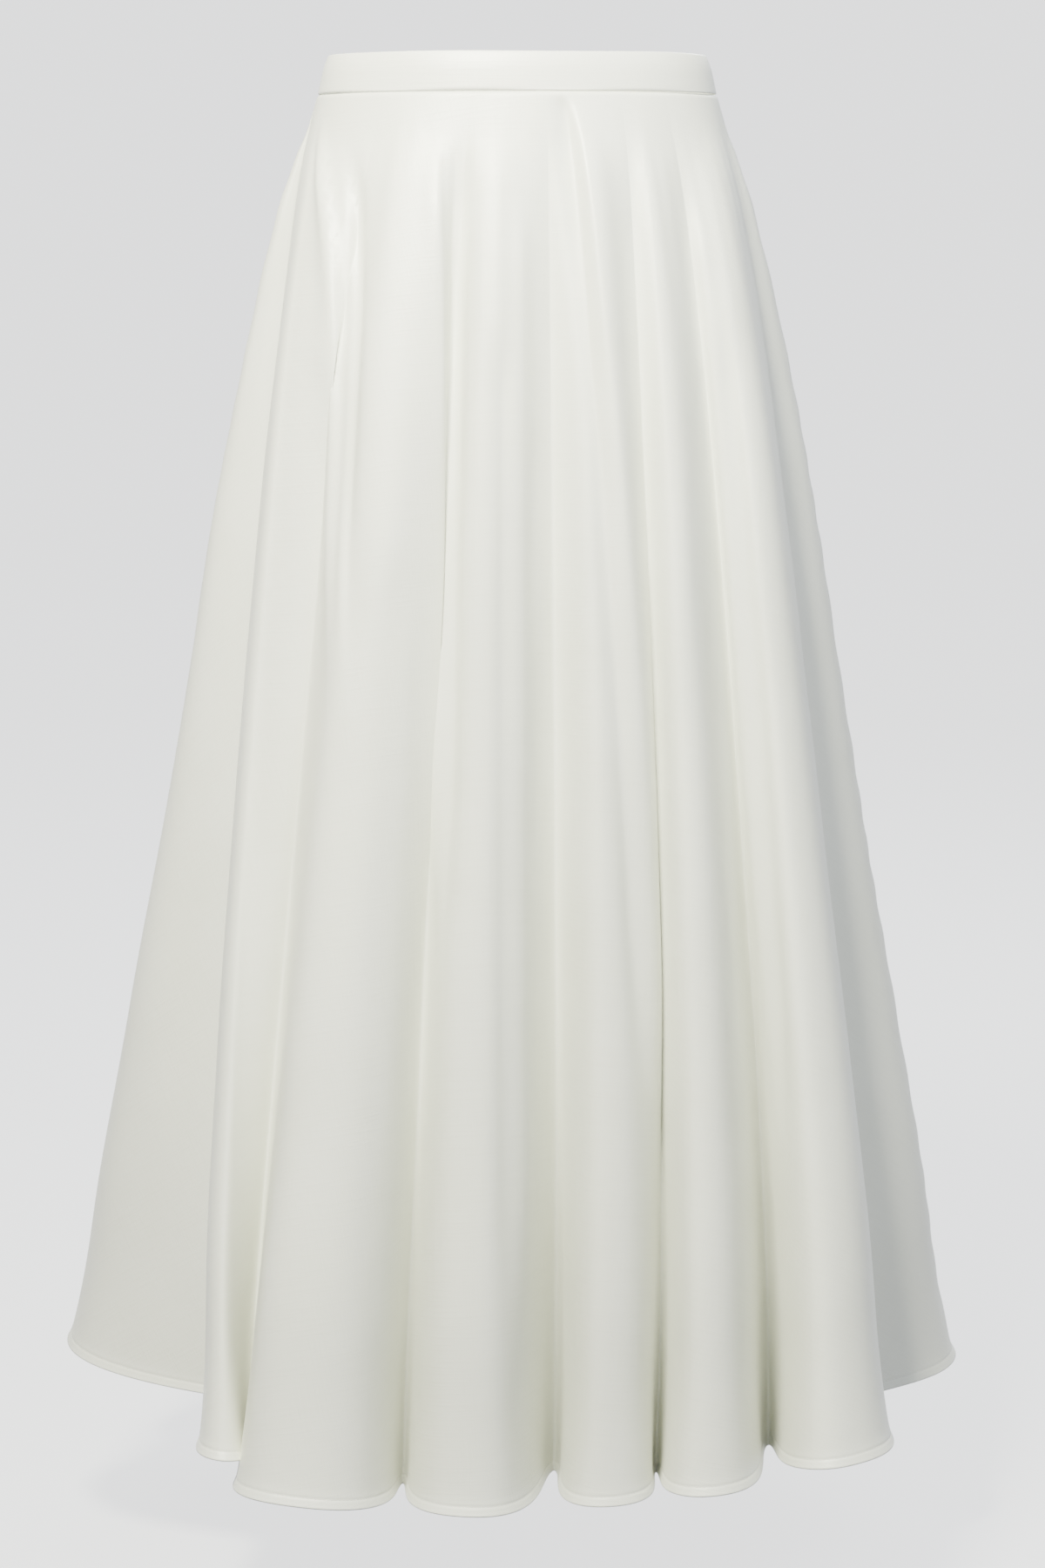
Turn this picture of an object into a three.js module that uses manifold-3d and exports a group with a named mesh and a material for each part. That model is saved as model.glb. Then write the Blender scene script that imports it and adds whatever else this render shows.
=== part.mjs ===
// A long flared skirt, filled out as if worn: about a half circle of cloth on a plain narrow waistband.
// Millimetres, +Z up, front towards -Y, the wearer's left towards +X. The origin is the centre of the waistband,
// at half its height.
import * as THREE from 'three';
import { mergeVertices } from 'three/addons/utils/BufferGeometryUtils.js';
import Module from 'manifold-3d';

// Cloth and seams
const CLOTH = 1.5;
const SEAM_GAP = 0.3;

// Waistband: half-axes of its outer face at the top and at the seam below it
const BAND_HEIGHT = 26;
const BAND_THICK = 2.5;
const BAND_TOP_WIDE = 131;
const BAND_TOP_DEEP = 88;
const WAIST_WIDE = 137;
const WAIST_DEEP = 93;
const BAND_SLIT = 1.6;

// Length of the cloth below the seam at the centre front and at the side
const LENGTH_FRONT = 933;
const LENGTH_SIDE = 913;

// Half-axes of the even cone that the folds wave about, at the hem
const CONE_WIDE = 268;
const CONE_DEEP = 225;

// How closely the hem follows its straight stretches: 1 is a plain curve, and more makes tighter turns
const TIGHTNESS = 2;

// The hem's last stretch turns outwards
const FLARE = 6;
const FLARE_FROM = 840;

// Folds round the skirt, seen from above and going from the left side over the front: crests and valleys in
// turn. waist is the bearing in degrees from the front where the fold leaves the waist, x and y its place at the
// hem, facing the bearing that the cloth faces there, before and after how far the curve keeps straight.
const FOLDS = [
  { name: 'side left', waist: -88, x: -323, y: 0, facing: -84, before: 50, after: 54 },
  { name: 'valley 1', waist: -86, x: -204, y: -92, facing: -62, before: 13, after: 13 },
  { name: 'front 1', waist: -70, x: -196, y: -262, facing: -36, before: 22, after: 18 },
  { name: 'valley 2', waist: -41, x: -180, y: -200, facing: -42, before: 7, after: 7 },
  { name: 'front 2', waist: -28, x: -146, y: -295, facing: -8, before: 48, after: 62 },
  { name: 'valley 3', waist: -13, x: -77, y: -202, facing: -6, before: 6, after: 6 },
  { name: 'front 3', waist: -5, x: -28, y: -280, facing: -2, before: 42, after: 32 },
  { name: 'valley 4', waist: 8, x: 25, y: -166, facing: 10, before: 8, after: 8 },
  { name: 'front 4', waist: 19, x: 60, y: -260, facing: 6, before: 30, after: 28 },
  { name: 'valley 5', waist: 30, x: 94, y: -190, facing: 12, before: 5, after: 5 },
  { name: 'front 5', waist: 36, x: 129, y: -267, facing: 14, before: 29, after: 29 },
  { name: 'valley 6', waist: 46, x: 172, y: -156, facing: 36, before: 9, after: 10 },
  { name: 'front 6', waist: 60, x: 220, y: -256, facing: 30, before: 46, after: 48 },
  { name: 'valley 7', waist: 79, x: 242, y: -96, facing: 62, before: 13, after: 13 },
  { name: 'side right', waist: 89, x: 310, y: -32, facing: 80, before: 38, after: 48 },
  { name: 'valley 8', waist: 100, x: 230, y: 32, facing: 98, before: 12, after: 12 },
  { name: 'back 1', waist: 112, x: 291, y: 116, facing: 112, before: 42, after: 42 },
  { name: 'valley 9', waist: 122, x: 196, y: 128, facing: 122, before: 12, after: 12 },
  { name: 'back 2', waist: 133, x: 226, y: 216, facing: 134, before: 42, after: 38 },
  { name: 'valley 10', waist: 144, x: 132, y: 178, facing: 145, before: 11, after: 11 },
  { name: 'back 3', waist: 155, x: 123, y: 273, facing: 158, before: 39, after: 38 },
  { name: 'valley 11', waist: 168, x: 46, y: 196, facing: 169, before: 9, after: 9 },
  { name: 'back 4', waist: 180, x: 4, y: 285, facing: 180, before: 38, after: 38 },
  { name: 'valley 12', waist: 191, x: -38, y: 198, facing: 190, before: 9, after: 9 },
  { name: 'back 5', waist: 202, x: -100, y: 276, facing: 198, before: 38, after: 40 },
  { name: 'valley 13', waist: 213, x: -122, y: 186, facing: 212, before: 11, after: 11 },
  { name: 'back 6', waist: 224, x: -208, y: 229, facing: 222, before: 40, after: 40 },
  { name: 'valley 14', waist: 235, x: -192, y: 134, facing: 235, before: 12, after: 12 },
  { name: 'back 7', waist: 247, x: -285, y: 132, facing: 246, before: 40, after: 42 },
  { name: 'valley 15', waist: 260, x: -228, y: 48, facing: 260, before: 13, after: 13 },
];

// Sections down the skirt: down is the distance along the cloth from the seam, spread how much of the cone's
// widening is reached there, and fold how much of the folds' depth.
const SECTIONS = [
  { down: 0, spread: 0, fold: 0 },
  { down: 25, spread: 0.05, fold: 0.012 },
  { down: 65, spread: 0.135, fold: 0.07 },
  { down: 120, spread: 0.225, fold: 0.14 },
  { down: 200, spread: 0.335, fold: 0.215 },
  { down: 300, spread: 0.45, fold: 0.295 },
  { down: 420, spread: 0.57, fold: 0.375 },
  { down: 540, spread: 0.69, fold: 0.485 },
  { down: 680, spread: 0.825, fold: 0.645 },
  { down: 830, spread: 0.95, fold: 0.85 },
  { down: 933, spread: 1, fold: 1 },
];

// Rows of points down a panel, as distances along the cloth, and columns of points across the panels, which
// stand closer where the hem turns: a turn of one radian counts as this length
const PANEL_ROWS = [0, 14, 32, 56, 88, 130, 185, 260, 350, 460, 580, 700, 800, 870, 933];
const FRONT_COLUMNS = 88;
const BACK_COLUMNS = 42;
const TURN_WEIGHT = 14;

// Steps that the surface is worked out in: down the cloth, along the hem between two folds, and to both sides of
// a point for the direction of the cloth there
const DROP_STEP = 4;
const SPAN_STEPS = 80;
const TANGENT_STEP = 0.5;
const EDGE_STEP = 8;
const BEARING_STEPS = 60;

// Columns and rows of points on the band and on the zip tape
const BAND_COLUMNS = 112;
const BAND_ROWS = 3;
const TAPE_COLUMNS = 6;

// Concealed zip at the centre back: the tape behind the seam
const ZIP_LENGTH = 180;
const TAPE_GAP = 0.5;
const TAPE_BELOW_TOP = 2;
const TAPE_WIDTH = 24;
const TAPE_THICK = 0.8;

// Its slider, on the back of the band: a plate, a neck through the slit, and two ears with a pin between them
const SLIDER_HEIGHT = 5;
const SLIDER_WIDE = 5.4;
const SLIDER_TALL = 9;
const SLIDER_THICK = 1.8;
const NECK_TALL = 5.4;
const EAR_TALL = 2.4;
const EAR_OUT = 4.8;
const EAR_THICK = 0.9;
const PIN_RADIUS = 0.6;
const PIN_OUT = 2.3;
const PIN_SIDES = 16;

// The pull that hangs on the pin: an eye, a stem and a tab
const EYE_WIDE = 2;
const EYE_REACH = 1.7;
const EYE_HOLE = 0.95;
const STEM_BELOW_EYE = 5.2;
const TAB_LENGTH = 22;
const TAB_WIDE = 5;
const TAB_TOP_WIDE = 4;
const TAB_THICK = 1;
const RUNNING_GAP = 0.3;

// How far one shape reaches into the next where the two are one piece
const JOIN = 0.2;

const CLOTH_COLOUR = 0xf0f0e8;
const METAL_COLOUR = 0xe6e4da;

const radians = THREE.MathUtils.degToRad;
const lerp = THREE.MathUtils.lerp;
const clothMaterial = () => new THREE.MeshStandardMaterial({ color: CLOTH_COLOUR, roughness: 0.8, metalness: 0 });
const metalMaterial = () => new THREE.MeshStandardMaterial({ color: METAL_COLOUR, roughness: 0.4, metalness: 0.3 });

// Which span of the rising list holds the value
function spanOf(list, value) {
  let low = 0;
  while (low < list.length - 2 && list[low + 1] <= value) low += 1;
  return low;
}

// A smooth curve through the points (x, y) that never turns back between them
function smoothThrough(x, y, closed) {
  const last = x.length - 1;
  const slope = x.slice(1).map((next, i) => (y[i + 1] - y[i]) / (next - x[i]));
  const gap = x.slice(1).map((next, i) => next - x[i]);
  const blend = (i, j) => {
    if (slope[i] * slope[j] <= 0) return 0;
    const w1 = 2 * gap[j] + gap[i];
    const w2 = gap[j] + 2 * gap[i];
    return (w1 + w2) / (w1 / slope[i] + w2 / slope[j]);
  };
  const tangent = y.map((_, i) => {
    if (i > 0 && i < last) return blend(i - 1, i);
    if (closed) return blend(last - 1, 0);
    return i === 0 ? slope[0] : slope[last - 1];
  });
  return (value) => {
    const i = spanOf(x, value);
    const t = (value - x[i]) / gap[i];
    const u = 1 - t;
    return (1 + 2 * t) * u * u * y[i] + t * u * u * gap[i] * tangent[i]
      + t * t * (3 - 2 * t) * y[i + 1] + t * t * (t - 1) * gap[i] * tangent[i + 1];
  };
}

// The hem in plan: one closed curve through the folds, with the distance along it at each point
function hemOutline() {
  const points = [];
  const marks = [];
  FOLDS.forEach((fold, i) => {
    const next = FOLDS[(i + 1) % FOLDS.length];
    const out = radians(fold.facing);
    const into = radians(next.facing);
    const corners = [
      [1, fold.x, fold.y],
      [TIGHTNESS, fold.x + fold.after * Math.cos(out), fold.y + fold.after * Math.sin(out)],
      [TIGHTNESS, next.x - next.before * Math.cos(into), next.y - next.before * Math.sin(into)],
      [1, next.x, next.y],
    ];
    marks.push(points.length);
    for (let step = 0; step < SPAN_STEPS; step += 1) {
      const t = step / SPAN_STEPS;
      const shares = [(1 - t) ** 3, 3 * t * (1 - t) ** 2, 3 * t * t * (1 - t), t ** 3];
      const pulls = corners.map(([weight], k) => weight * shares[k]);
      const whole = pulls.reduce((sum, pull) => sum + pull, 0);
      const x = corners.reduce((sum, corner, k) => sum + pulls[k] * corner[1], 0) / whole;
      const y = corners.reduce((sum, corner, k) => sum + pulls[k] * corner[2], 0) / whole;
      points.push(new THREE.Vector2(x, y));
    }
  });
  points.push(points[0].clone());
  marks.push(points.length - 1);
  const along = [0];
  for (let i = 1; i < points.length; i += 1) along.push(along[i - 1] + points[i].distanceTo(points[i - 1]));
  return { points, along, marks: marks.map((mark) => along[mark]), total: along[along.length - 1] };
}

const hem = hemOutline();
const waistBearing = smoothThrough(hem.marks, [...FOLDS.map((fold) => fold.waist), FOLDS[0].waist + 360], true);
const spreadAt = smoothThrough(SECTIONS.map((s) => s.down), SECTIONS.map((s) => s.spread), false);
const foldAt = smoothThrough(SECTIONS.map((s) => s.down), SECTIONS.map((s) => s.fold), false);

function hemPoint(place) {
  const wrapped = THREE.MathUtils.euclideanModulo(place, hem.total);
  let low = 0;
  let high = hem.along.length - 1;
  while (high - low > 1) {
    const middle = (low + high) >> 1;
    if (hem.along[middle] <= wrapped) low = middle;
    else high = middle;
  }
  const share = (wrapped - hem.along[low]) / (hem.along[high] - hem.along[low]);
  return hem.points[low].clone().lerp(hem.points[high], share);
}

const bearingAt = (place) => radians(waistBearing(THREE.MathUtils.euclideanModulo(place, hem.total)));

// 1 on a crest, 0 in a valley
function crestAt(place) {
  const wrapped = THREE.MathUtils.euclideanModulo(place, hem.total);
  const i = spanOf(hem.marks, wrapped);
  const share = (wrapped - hem.marks[i]) / (hem.marks[i + 1] - hem.marks[i]);
  return 0.5 + 0.5 * Math.cos(Math.PI * (i + share));
}

// Plan place of the cloth, before the hem's flare
function planPoint(place, down) {
  const bearing = bearingAt(place);
  const edge = hemPoint(place);
  const spread = spreadAt(down);
  const fold = foldAt(down);
  const coneX = CONE_WIDE * Math.sin(bearing);
  const coneY = -CONE_DEEP * Math.cos(bearing);
  return new THREE.Vector2(
    lerp(WAIST_WIDE * Math.sin(bearing), coneX, spread) + (edge.x - coneX) * fold,
    lerp(-WAIST_DEEP * Math.cos(bearing), coneY, spread) + (edge.y - coneY) * fold,
  );
}

// Points down the cloth at one place round it. The cloth keeps its length, so what it travels sideways it drops less.
function column(place, rows) {
  const bearing = bearingAt(place);
  const length = lerp(LENGTH_SIDE, LENGTH_FRONT, Math.cos(bearing) ** 2) / LENGTH_FRONT;
  const points = [];
  let height = -BAND_HEIGHT / 2 - SEAM_GAP;
  let last = planPoint(place, rows[0]);
  let down = rows[0];
  rows.forEach((row) => {
    while (down < row) {
      const next = Math.min(row, down + DROP_STEP);
      const here = planPoint(place, next);
      const step = (next - down) * length;
      height -= Math.sqrt(step * step - here.distanceToSquared(last));
      last = here;
      down = next;
    }
    const tangent = planPoint(place + TANGENT_STEP, row).sub(planPoint(place - TANGENT_STEP, row)).normalize();
    const reach = THREE.MathUtils.clamp((row - FLARE_FROM) / (LENGTH_FRONT - FLARE_FROM), 0, 1);
    const flare = FLARE * reach * reach * Math.sqrt(crestAt(place));
    points.push(new THREE.Vector3(last.x + tangent.y * flare, last.y - tangent.x * flare, height));
  });
  return points;
}

// Places between two bearings' places, closer where the hem turns
function placesBetween(from, to, count) {
  const steps = Math.ceil((to - from) / 2);
  const weight = [0];
  let direction = null;
  for (let i = 1; i <= steps; i += 1) {
    const a = hemPoint(lerp(from, to, (i - 1) / steps));
    const b = hemPoint(lerp(from, to, i / steps));
    const heading = b.sub(a);
    const turn = direction === null ? 0 : Math.abs(Math.atan2(direction.cross(heading), direction.dot(heading)));
    weight.push(weight[i - 1] + heading.length() + TURN_WEIGHT * turn);
    direction = heading;
  }
  return Array.from({ length: count + 1 }, (_, k) => {
    const wanted = weight[steps] * k / count;
    const i = spanOf(weight, wanted);
    return lerp(from, to, (i + (wanted - weight[i]) / (weight[i + 1] - weight[i])) / steps);
  });
}

// The place round the hem whose cloth leaves the waist at a bearing
function placeOfBearing(degrees) {
  const turned = degrees < FOLDS[0].waist ? degrees + 360 : degrees;
  let low = 0;
  let high = hem.total;
  for (let i = 0; i < BEARING_STEPS; i += 1) {
    const middle = (low + high) / 2;
    if (waistBearing(middle) < turned) low = middle;
    else high = middle;
  }
  return turned === degrees ? low : low - hem.total;
}

// Unit vectors that point out of a grid of points, grid[column][row]. before and after are the columns just past
// its ends, so that two pieces that meet at a seam have one direction there.
function outward(grid, before = grid[0], after = grid[grid.length - 1]) {
  return grid.map((points, c) => points.map((_, r) => {
    const across = (grid[c + 1] ?? after)[r].clone().sub((grid[c - 1] ?? before)[r]);
    const down = points[Math.min(r + 1, points.length - 1)].clone().sub(points[Math.max(r - 1, 0)]);
    return down.cross(across).normalize();
  }));
}

function moved(grid, normals, distance) {
  return grid.map((points, c) => points.map((point, r) => point.clone().addScaledVector(normals[c][r], distance)));
}

// A column of points shifted along its rows, towards the column after it
function shifted(points, before, after, distance) {
  return points.map((point, r) => point.clone().addScaledVector(after[r].clone().sub(before[r]).normalize(), distance));
}

// A closed wall between an outer and an inner grid of points
function wall(outer, inner) {
  const columns = outer.length;
  const rows = outer[0].length;
  const positions = [];
  [outer, inner].forEach((grid) => grid.forEach((points) => points.forEach((p) => positions.push(p.x, p.y, p.z))));
  const at = (side, c, r) => side * columns * rows + c * rows + r;
  const index = [];
  const quad = (a, b, c, d) => index.push(a, b, c, a, c, d);
  for (let c = 0; c < columns - 1; c += 1) {
    for (let r = 0; r < rows - 1; r += 1) {
      quad(at(0, c, r), at(0, c, r + 1), at(0, c + 1, r + 1), at(0, c + 1, r));
      quad(at(1, c, r), at(1, c + 1, r), at(1, c + 1, r + 1), at(1, c, r + 1));
    }
    quad(at(0, c, 0), at(0, c + 1, 0), at(1, c + 1, 0), at(1, c, 0));
    quad(at(0, c, rows - 1), at(1, c, rows - 1), at(1, c + 1, rows - 1), at(0, c + 1, rows - 1));
  }
  for (let r = 0; r < rows - 1; r += 1) {
    quad(at(0, 0, r), at(1, 0, r), at(1, 0, r + 1), at(0, 0, r + 1));
    quad(at(0, columns - 1, r), at(0, columns - 1, r + 1), at(1, columns - 1, r + 1), at(1, columns - 1, r));
  }
  const geometry = new THREE.BufferGeometry();
  geometry.setAttribute('position', new THREE.Float32BufferAttribute(positions, 3));
  geometry.setIndex(index);
  return geometry;
}

// A panel between two seams, each half a seam gap away. The directions at an edge are taken as far to both sides.
function panel(fromBearing, toBearing, columns) {
  const places = placesBetween(placeOfBearing(fromBearing), placeOfBearing(toBearing), columns);
  const grid = places.map((place) => column(place, PANEL_ROWS));
  const normals = outward(grid);
  [0, columns].forEach((c) => {
    const before = column(places[c] - EDGE_STEP, PANEL_ROWS);
    const after = column(places[c] + EDGE_STEP, PANEL_ROWS);
    [normals[c]] = outward([grid[c]], before, after);
    grid[c] = shifted(grid[c], before, after, c === 0 ? SEAM_GAP / 2 : -SEAM_GAP / 2);
  });
  return wall(grid, moved(grid, normals, -CLOTH));
}

function bandPoint(bearing, height) {
  const share = (BAND_HEIGHT / 2 - height) / BAND_HEIGHT;
  return new THREE.Vector3(
    lerp(BAND_TOP_WIDE, WAIST_WIDE, share) * Math.sin(bearing),
    -lerp(BAND_TOP_DEEP, WAIST_DEEP, share) * Math.cos(bearing),
    height,
  );
}

// Band: one strip from the left of the centre back round the front to the right of it
function waistband() {
  const bandColumn = (c) => Array.from({ length: BAND_ROWS + 1 }, (_, r) => (
    bandPoint(radians(lerp(-180, 180, c / BAND_COLUMNS)), lerp(BAND_HEIGHT / 2, -BAND_HEIGHT / 2, r / BAND_ROWS))));
  const grid = Array.from({ length: BAND_COLUMNS + 1 }, (_, c) => bandColumn(c));
  const normals = outward(grid, bandColumn(-1), bandColumn(BAND_COLUMNS + 1));
  grid[0] = shifted(grid[0], bandColumn(-1), bandColumn(1), BAND_SLIT / 2);
  grid[BAND_COLUMNS] = shifted(
    grid[BAND_COLUMNS], bandColumn(BAND_COLUMNS - 1), bandColumn(BAND_COLUMNS + 1), -BAND_SLIT / 2);
  return wall(grid, moved(grid, normals, -BAND_THICK));
}

// Zip tape: a strip behind the band and the centre-back seam, made from their points moved in
function zipTape() {
  const middle = placeOfBearing(180);
  const offsets = Array.from({ length: TAPE_COLUMNS + 1 }, (_, c) => lerp(-0.5, 0.5, c / TAPE_COLUMNS) * TAPE_WIDTH);
  const rows = [...PANEL_ROWS.filter((down) => down < ZIP_LENGTH), ZIP_LENGTH];
  const back = offsets.map((offset) => rows.map((down) => {
    const ahead = planPoint(middle + TANGENT_STEP, down);
    const speed = ahead.distanceTo(planPoint(middle - TANGENT_STEP, down)) / (2 * TANGENT_STEP);
    return column(middle + offset / speed, [0, down])[1];
  }));
  const onPanels = moved(back, outward(back), -CLOTH - TAPE_GAP);
  const heights = [BAND_HEIGHT / 2 - TAPE_BELOW_TOP, 0, -BAND_HEIGHT / 2];
  const band = offsets.map((offset) => heights.map((height) => bandPoint(Math.PI + offset / BAND_TOP_WIDE, height)));
  const onBand = moved(band, outward(band), -BAND_THICK - TAPE_GAP);
  const strip = onBand.map((points, c) => [...points, ...onPanels[c].slice(1)]);
  return wall(strip, moved(strip, outward(strip), -TAPE_THICK));
}

const wasm = await Module();
wasm.setup();

// A closed geometry as a solid that can be joined to others
function solid(geometry) {
  const bare = geometry.clone();
  bare.deleteAttribute('normal');
  bare.deleteAttribute('uv');
  const merged = mergeVertices(bare, 1e-4);
  return new wasm.Manifold(new wasm.Mesh({
    numProp: 3,
    vertProperties: new Float32Array(merged.attributes.position.array),
    triVerts: new Uint32Array(merged.index.array),
  }));
}

function joined(geometries) {
  const whole = geometries.map(solid).reduce((sum, next) => sum.add(next));
  const mesh = whole.getMesh();
  const geometry = new THREE.BufferGeometry();
  geometry.setAttribute('position', new THREE.Float32BufferAttribute(mesh.vertProperties, 3));
  geometry.setIndex(Array.from(mesh.triVerts));
  return geometry;
}

// A side view in the plane of Y and Z, made wide along X between two places
function wideProfile(shape, from, to) {
  const geometry = new THREE.ExtrudeGeometry(shape, { depth: to - from, bevelEnabled: false, curveSegments: 10 });
  geometry.applyMatrix4(new THREE.Matrix4().makeBasis(
    new THREE.Vector3(0, 1, 0), new THREE.Vector3(0, 0, 1), new THREE.Vector3(1, 0, 0)));
  return geometry.translate(from, 0, 0);
}

function rectangle(y0, y1, z0, z1) {
  return new THREE.Shape([[y0, z0], [y1, z0], [y1, z1], [y0, z1]].map(([y, z]) => new THREE.Vector2(y, z)));
}

// The zip's hard pieces are made round the pull's pin, upright, and leaned onto the band's back face
const bandBack = bandPoint(Math.PI, SLIDER_HEIGHT);
const bandBelow = bandPoint(Math.PI, SLIDER_HEIGHT - 1);
const bandLean = Math.atan2(bandBelow.y - bandBack.y, 1);
const pinHeight = SLIDER_TALL / 2 - EYE_REACH - RUNNING_GAP;
const faceToPin = SLIDER_THICK + PIN_OUT;

function zipSlider() {
  const back = RUNNING_GAP;
  const front = back + SLIDER_THICK;
  const half = SLIDER_TALL / 2;
  const plate = wideProfile(rectangle(back, front, -half, half), -SLIDER_WIDE / 2, SLIDER_WIDE / 2);
  const neckWide = BAND_SLIT / 2 - RUNNING_GAP;
  const neckShape = rectangle(-BAND_THICK, back + JOIN, -NECK_TALL / 2, NECK_TALL / 2);
  const neck = wideProfile(neckShape, -neckWide, neckWide);
  const earIn = EYE_WIDE / 2 + RUNNING_GAP;
  const earOut = earIn + EAR_THICK;
  const earShape = rectangle(front - JOIN, back + EAR_OUT, pinHeight - EAR_TALL / 2, pinHeight + EAR_TALL / 2);
  const ears = [wideProfile(earShape, earIn, earOut), wideProfile(earShape, -earOut, -earIn)];
  const pin = new THREE.CylinderGeometry(PIN_RADIUS, PIN_RADIUS, earIn + earOut, PIN_SIDES);
  pin.rotateZ(Math.PI / 2).translate(0, back + faceToPin, pinHeight);
  return joined([plate, neck, ...ears, pin]);
}

function zipPull() {
  const y = RUNNING_GAP + faceToPin;
  const back = y - TAB_THICK / 2;
  const front = y + TAB_THICK / 2;
  const eye = new THREE.Shape().absarc(y, pinHeight, EYE_REACH, 0, 2 * Math.PI);
  eye.holes.push(new THREE.Path().absarc(y, pinHeight, EYE_HOLE, 0, 2 * Math.PI, true));
  const ring = wideProfile(eye, -EYE_WIDE / 2, EYE_WIDE / 2);
  const tabTop = pinHeight - EYE_REACH - STEM_BELOW_EYE;
  const stemTop = pinHeight - EYE_REACH + JOIN;
  const stem = wideProfile(rectangle(back, front, tabTop - JOIN, stemTop), -EYE_WIDE / 2, EYE_WIDE / 2);
  const radius = TAB_WIDE / 2;
  const face = new THREE.Shape();
  face.absarc(0, pinHeight - TAB_LENGTH + radius, radius, Math.PI, 2 * Math.PI);
  face.lineTo(TAB_TOP_WIDE / 2, tabTop);
  face.lineTo(-TAB_TOP_WIDE / 2, tabTop);
  const tab = new THREE.ExtrudeGeometry(face, { depth: TAB_THICK, bevelEnabled: false, curveSegments: 12 });
  tab.rotateX(Math.PI / 2).translate(0, front, 0);
  return joined([ring, stem, tab]);
}

const group = new THREE.Group();

function add(name, geometry, material, parent = group) {
  geometry.computeVertexNormals();
  const mesh = new THREE.Mesh(geometry, material);
  mesh.name = name;
  parent.add(mesh);
  return mesh;
}

add('waistband', waistband(), clothMaterial());
add('front_panel', panel(-90, 90, FRONT_COLUMNS), clothMaterial());
add('back_left_panel', panel(90, 180, BACK_COLUMNS), clothMaterial());
add('back_right_panel', panel(180, 270, BACK_COLUMNS), clothMaterial());
add('zip_tape', zipTape(), clothMaterial());

const hardware = new THREE.Group();
hardware.position.copy(bandBack);
hardware.rotation.x = bandLean;
group.add(hardware);
add('zip_slider', zipSlider(), metalMaterial(), hardware);
add('zip_pull', zipPull(), metalMaterial(), hardware);

export default group;
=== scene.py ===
"""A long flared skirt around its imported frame: cloth panels, waistband, concealed zip, sewing and studio."""

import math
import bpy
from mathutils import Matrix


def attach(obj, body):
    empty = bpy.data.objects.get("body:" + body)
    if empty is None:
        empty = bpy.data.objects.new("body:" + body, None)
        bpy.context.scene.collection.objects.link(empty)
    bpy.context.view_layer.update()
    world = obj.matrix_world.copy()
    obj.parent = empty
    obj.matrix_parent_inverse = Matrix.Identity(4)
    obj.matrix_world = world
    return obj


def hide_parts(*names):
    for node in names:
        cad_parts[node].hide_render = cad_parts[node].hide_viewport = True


bl_info = {
    "name": "Flared skirt",
    "version": (1, 0, 0),
    "blender": (4, 5, 0),
    "location": "View3D > Sidebar > Skirt",
    "description": "Builds a long flared skirt, filled out as if worn, in woven ivory cloth",
    "category": "Object",
}

from collections import namedtuple

import bpy
import numpy as np
from bpy.props import FloatProperty, FloatVectorProperty, IntProperty, PointerProperty
from mathutils import Vector

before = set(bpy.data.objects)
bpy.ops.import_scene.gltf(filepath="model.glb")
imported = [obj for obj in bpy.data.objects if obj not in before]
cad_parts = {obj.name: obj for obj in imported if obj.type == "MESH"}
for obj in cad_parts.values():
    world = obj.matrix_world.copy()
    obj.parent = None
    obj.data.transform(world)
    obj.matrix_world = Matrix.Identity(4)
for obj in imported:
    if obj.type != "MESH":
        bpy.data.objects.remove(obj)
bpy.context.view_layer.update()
BODY = "garment"

# Sizes are in metres and angles in degrees. Bearings are counted from the front, seen from above.

# Waist: half-axes of the band's outer face at the top and at the seam below it
BAND_HEIGHT = 0.026
BAND_TOP = (0.131, 0.088)
WAIST = (0.137, 0.093)

# Length of the cloth below the seam at the centre front and at the side
LENGTH = 0.933
LENGTH_SIDE = 0.913
SEAM_HEIGHT = -BAND_HEIGHT / 2 - 0.0003

# Half-axes at the hem of the even cone that the folds wave about
CONE = (0.268, 0.225)

# How tightly the hem's curves keep to their handles
TIGHTNESS = 2.0

# How far the crests turn outwards at the hem, and the distance down where that starts
FLARE = 0.006
FLARE_FROM = 0.840

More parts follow.
